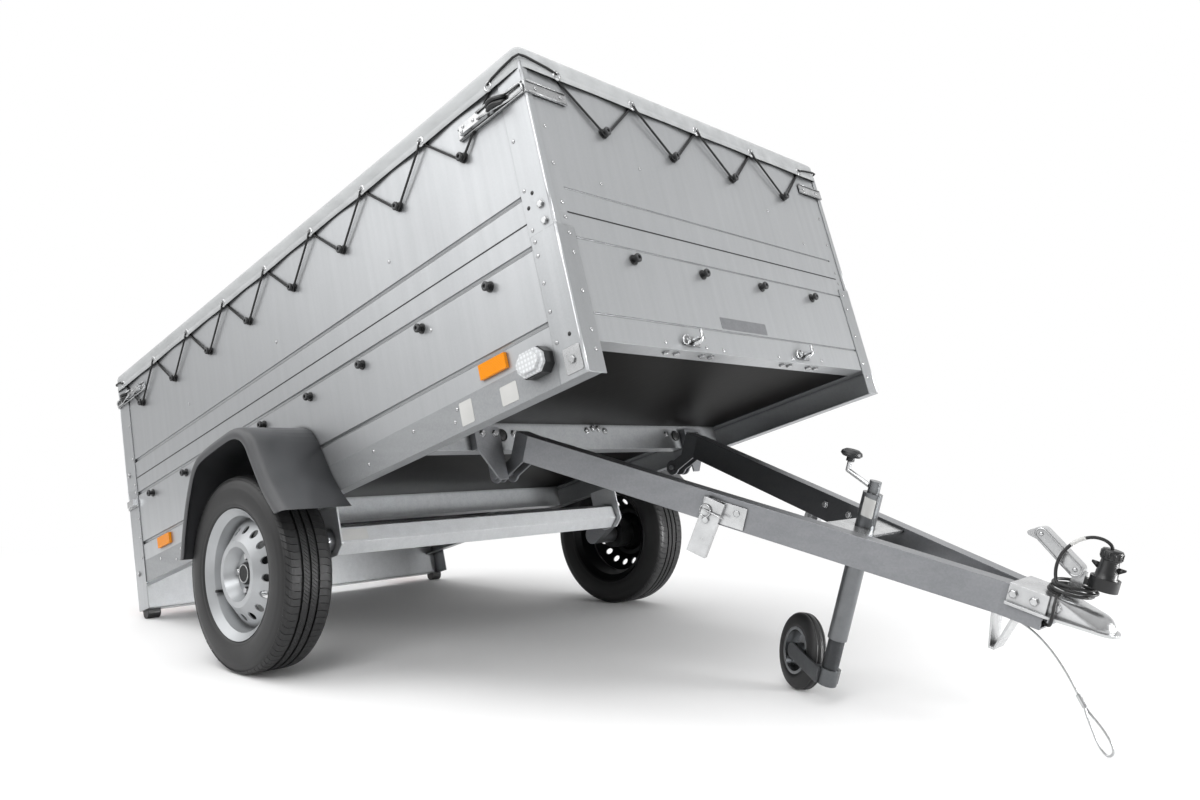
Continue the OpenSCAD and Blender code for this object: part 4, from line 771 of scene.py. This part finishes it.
# How far the tread falls towards its shoulder, at shares of the half width
TREAD_FALL = [(0.0, 0.0), (0.62, 0.0), (0.72, 0.0010), (0.81, 0.0033), (0.89, 0.0088), (1.0, 0.02)]
sidewall = [(LIP + (TYRE_R - LIP) * a, HALF * b) for a, b in SIDE_SHARES]
rim_seat = RIM_HALF - 0.3 * MM
carcass_outline = ([(BEAD_R, -BEAD_HALF), (BEAD_R, BEAD_HALF), (LIP, rim_seat)] + sidewall
                   + [(r, -z) for r, z in reversed(sidewall[:-1])] + [(LIP, -rim_seat)])


def tread_top(y):
    """Radius of the tread's top at a distance from its middle plane."""
    share = abs(y) / HALF
    for (a, fall_a), (b, fall_b) in zip(TREAD_FALL, TREAD_FALL[1:]):
        if share <= b:
            return TYRE_R - fall_a - (fall_b - fall_a) * (share - a) / (b - a)
    return TYRE_R


def tread_block(rows, first, last, slant, bow):
    """A block of one rib, open below: rows across the tread, angles, and how its edges lean and bow."""
    verts, faces = [], []
    for j, y in enumerate(rows):
        s = j / (len(rows) - 1)
        lean = slant * s + bow * s * s
        for angle in (first + lean, last + lean):
            for r in (TYRE_R - TREAD_DEPTH - TREAD_ROOT, tread_top(y)):
                verts.append((r * math.cos(angle), r * math.sin(angle), y))
    for j in range(len(rows) - 1):
        a, b = 4 * j, 4 * j + 4
        faces += [(a + 1, a + 3, b + 3, b + 1), (a, a + 1, b + 1, b), (a + 3, a + 2, b + 2, b + 3)]
    end = 4 * (len(rows) - 1)
    return verts, faces + [(0, 2, 3, 1), (end, end + 1, end + 3, end + 2)]


PITCHES = 84
PITCH = 2 * math.pi / PITCHES
SIPE = 0.0016 / TYRE_R
SHOULDER_ROWS = (0.0275, 0.038, 0.047, 0.054, 0.060, 0.0655, 0.0695)
CENTRE_ROWS = (0.0035, 0.012, 0.0205)
blocks = []
for s in SIDES:
    blocks.append(tread_block([s * y for y in SHOULDER_ROWS], 0, PITCH - SIPE, -s * 0.02, s * 0.09))
    blocks += [tread_block([s * y for y in CENTRE_ROWS], k * PITCH / 2,
                           (k + 1) * PITCH / 2 - 0.8 * SIPE, s * 0.055, 0) for k in (0, 1)]
one_pitch = joined(blocks)

# Bolts, cap ring, rim steps and valve of each road wheel, heights from its middle plane
BOLT_CIRCLE, BOLT_SEAT = 0.047, 0.0331
wheel_bolt = lathe([(0.0101, 0.0), (0.0101, 0.0075), (0.0086, 0.0098)], 6)
cap_ring = turned([(0.0225, 0.0461), (0.0232, 0.0474), (0.0252, 0.0479), (0.0268, 0.0462)], 40)
STEP_OUT, STEP_UP = 0.0028, 0.008
RIM_STEP = [(0.1606, 0.0405), (0.1622, 0.0440), (0.1655, 0.0445)]
rim_steps = joined([turned([(r + STEP_OUT * k, z + STEP_UP * k) for r, z in RIM_STEP], 96) for k in (0, 1)])
VALVE_LINE, VALVE_R = ((0.152, 0.030), (0.150, 0.038), (0.147, 0.050), (0.1455, 0.060)), 0.0045
VALVE_ANGLE = {-1: math.radians(205), 1: math.radians(-25)}
for s, name in SIDE_NAMES.items():
    body = "wheel_" + name
    side_turn = Matrix.Rotation(math.radians(-s * 90), 4, "X")
    wheel = Matrix.Translation((axle.x, s * TRACK / 2, axle.z)) @ side_turn
    carcass = piece("tyre_carcass_" + name, moved(turned(carcass_outline, 120), wheel),
                    finish["tyre_rubber"], body)
    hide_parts("tyre_" + name)
    pitches = [(wheel.translation, (wheel @ Matrix.Rotation(t, 4, "Z")).to_3x3()) for t in circle(PITCHES)]
    repeat("tyre_tread_" + name, one_pitch, pitches, finish["tyre_rubber"], body, smooth=False)
    bolts = [(wheel @ Vector((BOLT_CIRCLE * math.cos(t), BOLT_CIRCLE * math.sin(t), BOLT_SEAT)),
              (wheel @ Matrix.Rotation(t, 4, "Z")).to_3x3()) for t in circle(4)]
    repeat("wheel_bolts_" + name, wheel_bolt, bolts, finish["bright_zinc"], body, smooth=False)
    piece("cap_ring_" + name, moved(cap_ring, wheel), finish["bright_zinc"], body)
    piece("rim_steps_" + name, moved(rim_steps, wheel), finish["wheel_paint"], body)
    t = VALVE_ANGLE[s]
    valve = [wheel @ Vector((r * math.cos(t), r * math.sin(t), z)) for r, z in VALVE_LINE]
    piece("tyre_valve_" + name, tubes([valve], VALVE_R, 10), finish["black_rubber"], body)

# Jockey tyre with two grooves
HALF_JOCKEY = [(0.0612, 0.0218), (0.070, 0.022), (0.080, 0.0215), (0.088, 0.0198), (0.0938, 0.0165),
               (0.0968, 0.0125), (0.0977, 0.0092), (0.0945, 0.0088), (0.0945, 0.0066), (0.0979, 0.0062)]
jockey_outline = HALF_JOCKEY + [(r, -z) for r, z in reversed(HALF_JOCKEY)]
spin = joints["jockey_spin"]
spin_turn = Vector(spin["axis"]).to_track_quat("Z", "Y").to_matrix().to_4x4()
jockey_wheel = Matrix.Translation(spin["pos_m"]) @ spin_turn
jockey_tyre = piece("jockey_tyre_grooved", moved(turned(jockey_outline, 72), jockey_wheel),
                    finish["tyre_rubber"], "jockey_wheel")
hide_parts("jockey_tyre")

# Mudguards: one rolled section swept round the wheel, its line in shares of the tyre's radius from the axle
GUARD_OUT = TRACK / 2 + HALF + 0.024
GUARD_SHARES = [(1.254, 0.365), (1.111, 0.545), (0.976, 0.779), (0.728, 1.425), (-0.06, 1.4), (-0.43, 1.34),
                (-0.68, 1.02), (-0.87, 0.673), (-0.994, 0.365)]
GUARD_FOOT = 0.365 * TYRE_R - AXLE_DROP
GUARD_ROUND, GUARD_ROUND_SHARE, GUARD_PASSES = 0.055, 0.24, 3
# How far out the section's points lie and how far in from the guard's line
GUARD_SECTION = ([(SKIN_Y + 0.0002, 0.0005)]
                 + [(GUARD_OUT - back, inset) for back, inset in
                    ((0.022, 0.0005), (0.012, 0.002), (0.005, 0.0065), (0.0015, 0.0125), (0.0005, 0.019),
                     (0.0005, 0.031), (0.002, 0.0335), (0.004, 0.031), (0.005, 0.016), (0.014, 0.006),
                     (0.024, 0.004))]
                 + [(SKIN_Y + 0.0002, 0.004)])
guard_line = [Vector((a * TYRE_R - AXLE_SETBACK, b * TYRE_R - AXLE_DROP)) for a, b in GUARD_SHARES]
for _ in range(GUARD_PASSES):
    rounded = [guard_line[0]]
    for a, b in zip(guard_line, guard_line[1:]):
        reach = min(GUARD_ROUND_SHARE, GUARD_ROUND / (b - a).length)
        rounded += [a.lerp(b, reach), b.lerp(a, reach)]
    guard_line = rounded + [guard_line[-1]]
for s, name in SIDE_NAMES.items():
    sections = []
    for i, p in enumerate(guard_line):
        ahead = (guard_line[min(i + 1, len(guard_line) - 1)] - guard_line[max(i - 1, 0)]).normalized()
        inward = Vector((-ahead.y, ahead.x))
        points = [(p + inward * inset, y) for y, inset in GUARD_SECTION]
        sections.append([bed(q.x, s * y, max(q.y, GUARD_FOOT)) for q, y in points])
    guard = piece("mudguard_shell_" + name, skin(sections), finish["guard_plastic"], "bed")
    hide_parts("mudguard_" + name)

# Rivets: places on the posts, the side sheets, the front and the rear, most as (along or across, height)
rivet = lathe([(0.0050, -0.0004), (0.0047, 0.0011), (0.0033, 0.0022), (0.0012, 0.0026)], 12)
POST_RIVETS = [(u, w) for u in (0.071, BED_LENGTH - 0.068)
               for w in (0.092, 0.165, 0.234, 0.300, 0.334, 0.363, 0.462, 0.590)]
SIDE_RIVETS = ([(u, 0.058) for u in (0.44, 0.62, 0.80, 1.62, 1.80, 1.98, 2.14)]
               + [(u, 0.030) for u in (0.455, 0.83, 1.66, 2.02)]
               + [(0.483, 0.281)] + [(u, 0.52) for u in (0.60, 1.20, 1.80)])
FRONT_POST_HEIGHTS = (0.055, 0.100, 0.192, 0.284, 0.332)
FRONT_RIVETS = ([(POST_Y - 0.043, w) for w in (0.373, 0.41, 0.51, 0.605)]
                + [(0.369, 0.092), (0.205, 0.090), (0.132, 0.088), (0.30, 0.57), (0.47, 0.49)])
REAR_POST_HEIGHTS = (0.02, 0.12, 0.21, 0.30, 0.42, 0.55)
rivets = []
for s in SIDES:
    rivets += [(bed(-u, s * POST_Y, w), side_wall[s]) for u, w in POST_RIVETS]
    rivets += [(bed(-u, s * SKIN_Y, w), side_wall[s]) for u, w in SIDE_RIVETS]
    rivets += [(bed(0, s * (POST_Y - 0.041), w), front_wall) for w in FRONT_POST_HEIGHTS]
    rivets += [(bed(-SHEET, s * v, w), front_wall) for v, w in FRONT_RIVETS]
    rivets += [(bed(-BED_LENGTH, s * (SKIN_Y - 0.011), w), rear_wall) for w in REAR_POST_HEIGHTS]
repeat("sheet_rivets", rivet, rivets, finish["bright_zinc"], "bed")

# Bolts on the bed and the drawbar, holes in the posts as dark discs of painted shade, grommets in the hinge
# member
hex_bolt = lathe([(0.0105, -0.0004), (0.0105, 0.0008), (0.0087, 0.0010), (0.0087, 0.0056),
                  (0.0072, 0.0066)], 6)
POST_BOLTS = ((0.029, 0.409), (0.027, 0.3675), (0.034, 0.040), (BED_LENGTH - 0.03, 0.409),
              (BED_LENGTH - 0.03, 0.04))
CATCH_PLATE, CATCH_BOLTS = 0.004, ((0.243, 0.101), (0.285, 0.101))
EAR_PLATE, EAR_BOLTS = 0.024, ((0.43, 0.042), (0.474, 0.042))
MEMBER_BOLTS = ((0.451, 0.046), (0.012, 0.067), (0.040, 0.060), (0.340, 0.050))
LIP_X, LIP_Z, LIP_BOLTS = -0.022, 0.076, (0.171, 0.208, 0.311, 0.352)
POST_HOLES = ((0.068, 0.417), (0.048, 0.446), (0.029, 0.097))
ARM_ANGLE = math.atan((ARM_SPREAD - ARM_TIP) / (ARM_BEND_FRONT - ARM_BEND_REAR))
ARM_INNER, LEVER_BASE = 0.0468, 0.018
HEAD_BOLTS, HEAD_Y, HEAD_Z = (1.256, 1.300), 0.0643, 0.110
NOSE_BOLT, NOSE_LEAN = (1.341, 0.0478, 0.109), 0.16
ARM_BOLTS = ((0.652, 0.095, 0.0), (0.592, 0.062, LEVER_BASE))
INNER_BOLTS, INNER_Z = (0.66, 0.745), 0.098


def arm_face(x):
    """Half spread of an arm's outer side at a station."""
    return ARM_SPREAD - (x - ARM_BEND_REAR) * math.tan(ARM_ANGLE) if x < ARM_BEND_FRONT else ARM_TIP


bed_bolts, bar_bolts, holes = [], [], []
for s in SIDES:
    bed_bolts += [(bed(-u, s * POST_Y, w), side_wall[s]) for u, w in POST_BOLTS]
    for x, table in ((-SHEET + CATCH_PLATE, CATCH_BOLTS), (MEMBER_X + EAR_PLATE, EAR_BOLTS),
                     (MEMBER_X, MEMBER_BOLTS)):
        bed_bolts += [(bed(x, s * v, w), front_wall) for v, w in table]
    bed_bolts += [(bed(LIP_X, s * v, LIP_Z), facing(bed_matrix, (0, 0, -1), (1, 0, 0))) for v in LIP_BOLTS]
    holes += [(bed(-u, s * POST_Y, w), side_wall[s]) for u, w in POST_HOLES]
    straight = facing(bar_matrix, (0, s, 0))
    slanted = facing(bar_matrix, (math.sin(ARM_ANGLE), s * math.cos(ARM_ANGLE), 0))
    inner = facing(bar_matrix, (-math.sin(ARM_ANGLE), -s * math.cos(ARM_ANGLE), 0))
    bar_bolts += [(bar(x, s * HEAD_Y, HEAD_Z), straight) for x in HEAD_BOLTS]
    x, y, z = NOSE_BOLT
    bar_bolts.append((bar(x, s * y, z), facing(bar_matrix, (NOSE_LEAN, s, 0))))
    for x, z, proud in ARM_BOLTS:
        bar_bolts.append((bar(x, s * (arm_face(x) + proud), z), slanted))
    bar_bolts += [(bar(x, s * (arm_face(x) - ARM_INNER), INNER_Z), inner) for x in INNER_BOLTS]
# Each hole is a thin dark disc on the post: painted shade where the post opens
hole = lathe([(0.0052, -0.0003), (0.0050, 0.0004)], 16)
repeat("sheet_holes", hole, holes, finish["black_rubber"], "bed")
grommet = joined([lathe([(0.0150, -0.0004), (0.0150, 0.0030), (0.0125, 0.0042)], 24),
                  turned([(0.0150, 0.0004), (0.0172, 0.0010), (0.0172, 0.0044), (0.0146, 0.0052)], 24)])
grommets = [(bed(MEMBER_X, s * 0.385, 0.044), front_wall) for s in SIDES]
repeat("cable_grommets", grommet, grommets, finish["black_rubber"], "bed")
repeat("bed_bolts", hex_bolt, bed_bolts, finish["bright_zinc"], "bed", smooth=False)
repeat("bar_bolts", hex_bolt, bar_bolts, finish["bright_zinc"], "drawbar", smooth=False)

# Raised rims on the faces of the hooks
hook_rim = turned([(0.0049, HOOK_FACE - 0.0002), (0.0056, HOOK_FACE + 0.0009), (0.0092, HOOK_FACE + 0.0009),
                   (0.0098, HOOK_FACE - 0.0002)], 20)
bed_rims, gate_rims = [], []
for z, rear_rims in ((HOOK_Z, bed_rims), (LOWER_HOOK_Z, gate_rims)):
    bed_rims += [(bed(-u, s * SKIN_Y, z), side_wall[s]) for s in SIDES for u in side_hooks]
    bed_rims += [(bed(-SHEET, v, z), front_wall) for v in end_hooks]
    rear_rims += [(bed(-BED_LENGTH + SHEET, v, z), rear_wall) for v in end_hooks]
repeat("hook_rims", hook_rim, bed_rims, finish["guard_plastic"], "bed")
repeat("gate_hook_rims", hook_rim, gate_rims, finish["guard_plastic"], "tailgate")

# Rounded folds down the corners of the lower and upper posts, in a paler zinc as a painted highlight
FOLD_R, FOLD_IN, FOLD_STEPS = 0.0042, 0.0032, 4
FOLD_HEIGHTS = ((0.003, 0.349), (0.352, 0.742))
folds = [[bed(x, s * (POST_Y - FOLD_IN), low + (high - low) * k / FOLD_STEPS) for k in range(FOLD_STEPS + 1)]
         for s in SIDES for x in (-FOLD_IN, -BED_LENGTH + FOLD_IN) for low, high in FOLD_HEIGHTS]
piece("post_folds", tubes(folds, FOLD_R, 16), fold_highlight_zinc, "bed")

# Joint lines between the lower and the upper boards: dark strips in the real joints, as painted shade in the
# gaps
GAP_H, GAP_PROUD, GAP_SUNK = 0.0034, 0.0005, 0.001
GAP_REAR, GAP_FRONT, GAP_END = -BED_LENGTH + 0.05, -0.066, SKIN_Y - 0.05
joint_shade_strips = []
for s in SIDES:
    y0, y1 = sorted((s * (SKIN_Y - GAP_SUNK), s * (SKIN_Y + GAP_PROUD)))
    joint_shade_strips.append(brick((GAP_REAR, y0, SEAM_Z - GAP_H / 2), (GAP_FRONT, y1, SEAM_Z + GAP_H / 2)))
for board, ahead in ((-SHEET, 1), (-BED_LENGTH + SHEET, -1)):
    x0, x1 = sorted((board - ahead * GAP_SUNK, board + ahead * GAP_PROUD))
    joint_shade_strips.append(brick((x0, -GAP_END, SEAM_Z), (x1, GAP_END, SEAM_Z + GAP_H)))
piece("board_joints", moved(joined(joint_shade_strips), bed_matrix), finish["black_rubber"], "bed",
      smooth=False)

# Pressed rim and rivets on the coupling's handle, between its lower and upper round ends
HANDLE_LOW, HANDLE_HIGH = Vector((ARM_LENGTH + 0.024, 0.192)), Vector((ARM_LENGTH - 0.058, 0.242))
HANDLE_LOW_R, HANDLE_HIGH_R, HANDLE_Y, HANDLE_RIM = 0.0125, 0.0115, 0.015, 0.0019
along = (HANDLE_HIGH - HANDLE_LOW).normalized()
lean = math.atan2(along.y, along.x)
handle_rims, handle_rivets = [], []
for s in SIDES:
    line = []
    for middle, r, turn in ((HANDLE_LOW, HANDLE_LOW_R, lean + math.pi), (HANDLE_HIGH, HANDLE_HIGH_R, lean)):
        for t in [turn - math.pi / 2 + math.pi * k / 12 for k in range(13)]:
            line.append(bar(middle.x + r * math.cos(t), s * HANDLE_Y, middle.y + r * math.sin(t)))
    handle_rims.append(line + line[:1])
    handle_rivets += [(bar(p.x, s * HANDLE_Y, p.y), facing(bar_matrix, (0, s, 0)))
                      for p in (HANDLE_LOW, HANDLE_HIGH)]
piece("handle_rims", tubes(handle_rims, HANDLE_RIM), finish["bright_zinc"], "drawbar")
repeat("handle_rivets", rivet, handle_rivets, finish["bright_zinc"], "drawbar")

# Catches of the tilt lock: a turned-up finger and a wire eye
CATCH_Y, FINGER_R, EYE_WIRE = 0.264, 0.0052, 0.0022
FINGER = ((0.004, -0.008, 0.092), (0.016, -0.006, 0.090), (0.026, 0, 0.094), (0.030, 0.004, 0.106),
          (0.029, 0.006, 0.122))
full_turn = circle(24) + [2 * math.pi]
fingers = [[bed(x, s * CATCH_Y + dy, z) for x, dy, z in FINGER] for s in SIDES]
EYE_X, EYE_Z, EYE_ASIDE, EYE_LEAN, EYE_HALF_W, EYE_HALF_H = 0.0055, 0.102, 0.030, 0.004, 0.013, 0.010
eyes = [[bed(EYE_X + EYE_LEAN * math.sin(t), s * CATCH_Y - EYE_ASIDE + EYE_HALF_W * math.cos(t),
             EYE_Z + EYE_HALF_H * math.sin(t)) for t in full_turn] for s in SIDES]
piece("catch_fingers", joined([tubes(fingers, FINGER_R, 10), tubes(eyes, EYE_WIRE)]), finish["bright_zinc"],
      "bed")

# Lock pins with their rings on the levers
PIN_X, PIN_Z, PIN_PROUD, PIN_RING_R, PIN_WIRE = 0.587, 0.083, 0.0212, 0.015, 0.0019
PIN_LINE = ((0.573, 0.0, 0.087), (0.58, 0.0, 0.086), (0.622, 0.004, 0.080), (0.64, 0.008, 0.078))
pin_y = arm_face(PIN_X) + PIN_PROUD
pin_rings = [[bar(PIN_X + PIN_RING_R * math.cos(t), s * pin_y, PIN_Z + PIN_RING_R * math.sin(t))
              for t in full_turn] for s in SIDES]
pins = [[bar(x, s * (pin_y - inset), z) for x, inset, z in PIN_LINE] for s in SIDES]
piece("lever_pins", tubes(pin_rings + pins, PIN_WIRE), finish["bright_zinc"], "drawbar")

# Blank plates on the rail, the axle beam and the front board
PLATE_THICK = 0.6 * MM
BEAM_MIDDLE, BEAM_FACE, BEAM_TURN = Vector((-1.170, -0.545, -0.105)), 0.0400, math.radians(10)
beam_out = Vector((math.cos(BEAM_TURN), 0, math.sin(BEAM_TURN)))
plates = [plate(bed_matrix, (-0.407, -SKIN_Y, 0.040), (0, -1, 0), (0.047, 0.058), PLATE_THICK),
          plate(bed_matrix, (-0.251, -SKIN_Y, 0.035), (0, -1, 0), (0.058, 0.046), PLATE_THICK),
          plate(bed_matrix, BEAM_MIDDLE + BEAM_FACE * beam_out, beam_out, (0.09, 0.034), PLATE_THICK)]
piece("blank_plates", joined(plates), white_plate, "bed", smooth=False)
front_plate = plate(bed_matrix, (-SHEET, -0.004, 0.166), (1, 0, 0), (0.216, 0.032), PLATE_THICK)
piece("front_plate", front_plate, finish["zinc_frame"], "bed", smooth=False)

# Label wrapped round the jockey's tube, pads under the posts' lower bolts, and panes of the tail lamps
LABEL_LOW, LABEL_HIGH, LABEL_DROP, LABEL_STEPS = 0.150, 0.196, 0.004, 8
LABEL_IN, LABEL_FIRST, LABEL_SWEEP = JOCKEY_TUBE_R - 0.4 * MM, -108, 72
label = []
for k in range(LABEL_STEPS + 1):
    share = k / LABEL_STEPS
    t = math.radians(LABEL_FIRST + LABEL_SWEEP * share)
    edge = ((LABEL_IN, LABEL_LOW), (JOCKEY_TUBE_R, LABEL_LOW), (JOCKEY_TUBE_R, LABEL_HIGH),
            (LABEL_IN, LABEL_HIGH))
    label.append([bar(JOCKEY_X + r * math.cos(t), r * math.sin(t), z - LABEL_DROP * share) for r, z in edge])
piece("tube_label", skin(label), white_plate, "drawbar", smooth=False)
pads = [plate(bed_matrix, (-0.034, s * POST_Y, 0.040), (0, s, 0), (0.052, 0.058), 1.6 * MM) for s in SIDES]
piece("post_pads", joined(pads), finish["bright_zinc"], "bed", smooth=False)
LAMP_X, LAMP_Y, LAMP_Z, PANE_H, PANE_THICK = -BED_LENGTH + SHEET - 0.042, SKIN_Y - 0.150, -0.008, 0.082, 0.002
for colour, out, wide in (("amber_lens", 0.062, 0.052), ("white_lens", -0.064, 0.048)):
    panes = [plate(bed_matrix, (LAMP_X, s * (LAMP_Y + out), LAMP_Z), (-1, 0, 0), (wide, PANE_H), PANE_THICK)
             for s in SIDES]
    piece("tail_panes_" + colour[:5], joined(panes), finish[colour], "bed", smooth=False)

# Corner latches: raised edges, a dark cam, the wire loop that hooks the corner, and rivets
LATCH_Z, LATCH_PLATE = 0.696, 0.004
EDGE_W, EDGE_PROUD, EDGE_R = 0.0138, 0.0016, 0.0019
SIDE_EDGE, END_EDGE = (0.004, 0.08, 0.16, 0.238), (0.004, 0.05, 0.09, 0.130)
CAM_W, CAM_FIRST, CAM_LENGTH, CAM_LOW, CAM_RISE = 0.0068, 0.062, 0.062, 0.004, 0.0185
CAM_R, CAM_STEPS = 0.0062, 8
CAM_LINE = [(CAM_FIRST + CAM_LENGTH * k / CAM_STEPS, CAM_LOW + CAM_RISE * math.sin(math.pi * k / CAM_STEPS))
            for k in range(CAM_STEPS + 1)]
LOOP_R = 0.0026
HALF_LOOP = ((0.150, 0.0185, 0.0085), (0.118, 0.0175, 0.0105), (0.05, 0.0062, 0.0112),
             (0.008, 0.0046, 0.0104), (0.003, 0.0042, 0.004))
LATCH_LOOP = HALF_LOOP + tuple((u, out, -w) for u, out, w in reversed(HALF_LOOP))
LATCH_RIVETS = ((0.168, 0.015, 0.0), (0.205, 0.015, 0.003), (0.213, 0.015, -0.006), (0.229, 0.0, 0.0))
CORNER_X = {1: 0.0, -1: -BED_LENGTH}
END_WALLS = ((1, front_wall), (-1, rear_wall))


def on_side(s, ahead, u, out, w):
    """A point of a latch on the side: in from the corner, proud of the plate, above its middle."""
    return bed(CORNER_X[ahead] - ahead * u, s * (POST_Y + LATCH_PLATE + out), LATCH_Z + w)


def on_end(s, ahead, v, out, w):
    """A point of a latch on the front or rear: in from the corner, proud, above its middle."""
    return bed(CORNER_X[ahead] + ahead * (LATCH_PLATE + out), s * (POST_Y - v), LATCH_Z + w)


latch_edges, cams, loops, latch_rivets = [], [], [], []
for s in SIDES:
    for ahead, wall in END_WALLS:
        for w in (-EDGE_W, EDGE_W):
            latch_edges.append([on_side(s, ahead, u, EDGE_PROUD, w) for u in SIDE_EDGE])
            latch_edges.append([on_end(s, ahead, v, EDGE_PROUD, w) for v in END_EDGE])
        cams += [[on_side(s, ahead, u, out, w) for u, out in CAM_LINE] for w in (-CAM_W, CAM_W)]
        loops.append([on_side(s, ahead, u, out, w) for u, out, w in LATCH_LOOP])
        latch_rivets += [(on_side(s, ahead, u, out, w), side_wall[s]) for u, out, w in LATCH_RIVETS]
        latch_rivets += [(on_end(s, ahead, v, 0.0, 0.0), wall) for v in (0.03, 0.112)]
piece("latch_edges", tubes(latch_edges, EDGE_R, 6), finish["bright_zinc"], "bed")
piece("latch_cams", tubes(cams, CAM_R, 10), finish["black_plastic"], "bed")
piece("latch_loops", tubes(loops, LOOP_R), finish["bright_zinc"], "bed")
repeat("latch_rivets", rivet, latch_rivets, finish["bright_zinc"], "bed")

# Sleeve on the lead, where it rises to the plug
SLEEVE_LOW, SLEEVE_END, SLEEVE_WALL = 0.238, 1.352, 0.0008
sleeve = [bar(*p) for p in lead_line if p.z > SLEEVE_LOW and p.x < SLEEVE_END]
piece("lead_sleeve", tubes([sleeve], LEAD_D / 2 + SLEEVE_WALL, 12), white_plate, "drawbar")

# Floor: pale round the trailer, where it takes the shadow, white behind it, dim far off elsewhere
BACKDROP, FADE_FROM, FADE_TO = (-0.66, 0.75, 0.0), 0.25, 0.6
WHITE_FROM, WHITE_TO, DIM_FROM, DIM_TO = 1.5, 3.2, 2.5, 11.0


def toward_backdrop(tree, direction):
    """How far a direction points to the white backdrop behind the trailer."""
    along = put(tree, "ShaderNodeVectorMath", {0: direction, 1: BACKDROP}, operation="DOT_PRODUCT")
    return put(tree, "ShaderNodeMapRange", {"Value": along.outputs["Value"], "From Min": FADE_FROM,
                                            "From Max": FADE_TO}, interpolation_type="SMOOTHSTEP").outputs[0]


bpy.ops.mesh.primitive_plane_add(size=80)
floor = bpy.context.object
floor.name = "studio_floor"
pale, tree, shader = start("studio_floor", 0.9)
rays = put(tree, "ShaderNodeLightPath").outputs
seen = put(tree, "ShaderNodeMath", {0: rays["Is Camera Ray"], 1: rays["Is Glossy Ray"]}, operation="ADD")
seen = put(tree, "ShaderNodeMath", {0: seen.outputs[0], 1: rays["Is Transmission Ray"]}, operation="ADD",
           use_clamp=True).outputs[0]
far = put(tree, "ShaderNodeVectorMath", {0: place(tree, (1250, 1000, 1000))}, operation="LENGTH")
far = far.outputs["Value"]
clear = put(tree, "ShaderNodeMapRange", {"Value": far, "From Min": WHITE_FROM, "From Max": WHITE_TO},
            interpolation_type="SMOOTHSTEP").outputs[0]
distant = put(tree, "ShaderNodeMapRange", {"Value": far, "From Min": DIM_FROM, "From Max": DIM_TO},
              interpolation_type="SMOOTHSTEP").outputs[0]
outward = put(tree, "ShaderNodeVectorMath", {0: place(tree)}, operation="NORMALIZE").outputs["Vector"]
white_share = put(tree, "ShaderNodeMath", {0: clear, 1: seen}, operation="MULTIPLY").outputs[0]
white_share = put(tree, "ShaderNodeMath", {0: white_share, 1: toward_backdrop(tree, outward)},
                  operation="MULTIPLY").outputs[0]
floor_tone = put(tree, "ShaderNodeValToRGB", {"Fac": distant},
                 [(0.0, srgb("#efefef")), (1.0, srgb("#979797"))]).outputs[0]
wire(tree, shader, {"Base Color": floor_tone, "Specular IOR Level": 0.1})
white = put(tree, "ShaderNodeEmission", {"Strength": 1.0}).outputs[0]
shown = put(tree, "ShaderNodeMixShader", {"Fac": white_share, 1: shader.outputs[0], 2: white}).outputs[0]
wire(tree, tree.nodes["Material Output"], {"Surface": shown})
floor.data.materials.append(pale)

# World: white behind the trailer, a soft panel at its rear right, and elsewhere dim at the horizon
PANEL, PANEL_EDGE, PANEL_FULL, PANEL_GLOW = (-0.55, -0.58, 0.6), 0.765, 0.96, 1.7
world = bpy.data.worlds.new("studio")
scene.world = world
world.use_nodes = True
tree = world.node_tree
toward = put(tree, "ShaderNodeTexCoord").outputs["Generated"]
height = put(tree, "ShaderNodeSeparateXYZ", {"Vector": toward}).outputs["Z"]
sky = put(tree, "ShaderNodeValToRGB", {"Fac": height},
          [(0.0, grey(0.34)), (0.3, grey(0.5)), (0.5, grey(0.58)), (1.0, grey(0.85))]).outputs[0]
panel = put(tree, "ShaderNodeVectorMath", {0: toward, 1: PANEL}, operation="DOT_PRODUCT").outputs["Value"]
glow = put(tree, "ShaderNodeMapRange", {"Value": panel, "From Min": PANEL_EDGE, "From Max": PANEL_FULL,
                                        "To Max": PANEL_GLOW}, interpolation_type="SMOOTHSTEP").outputs[0]
sky = put(tree, "ShaderNodeMix", {SHARE: 1.0, FIRST: sky, SECOND: glow}, data_type="RGBA",
          blend_type="ADD").outputs[MIXED]
lit = put(tree, "ShaderNodeMix", {SHARE: toward_backdrop(tree, toward), FIRST: sky, SECOND: grey(1.0)},
          data_type="RGBA")
wire(tree, tree.nodes["Background"], {"Color": lit.outputs[MIXED], "Strength": 1.0})


# Lights
def soft_light(name, place_at, aim, size, watts, spread=180):
    """A rectangular soft box aimed at a point, its spread in degrees."""
    data = bpy.data.lights.new(name, "AREA")
    data.shape, data.size, data.size_y, data.energy = "RECTANGLE", size[0], size[1], watts
    data.spread = math.radians(spread)
    light = bpy.data.objects.new(name, data)
    turn = (Vector(aim) - Vector(place_at)).to_track_quat("-Z", "Y").to_matrix().to_4x4()
    light.matrix_world = Matrix.Translation(place_at) @ turn
    scene.collection.objects.link(light)


soft_light("side_softbox", (1.5, -2.7, 2.5), (0.3, -0.6, 1.0), (1.6, 1.4), 40)
soft_light("top_softbox", (0.2, -0.6, 5.0), (0.2, 0, 0.6), (5, 4), 120)
soft_light("front_softbox", (6.0, 2.0, 0.8), (0.3, 0, 0.6), (2.4, 1.6), 140)
soft_light("low_softbox", (3.1, 1.5, 0.22), (-0.5, 0, 0.2), (1.4, 0.36), 10, spread=50)
scene.view_settings.view_transform = "Standard"
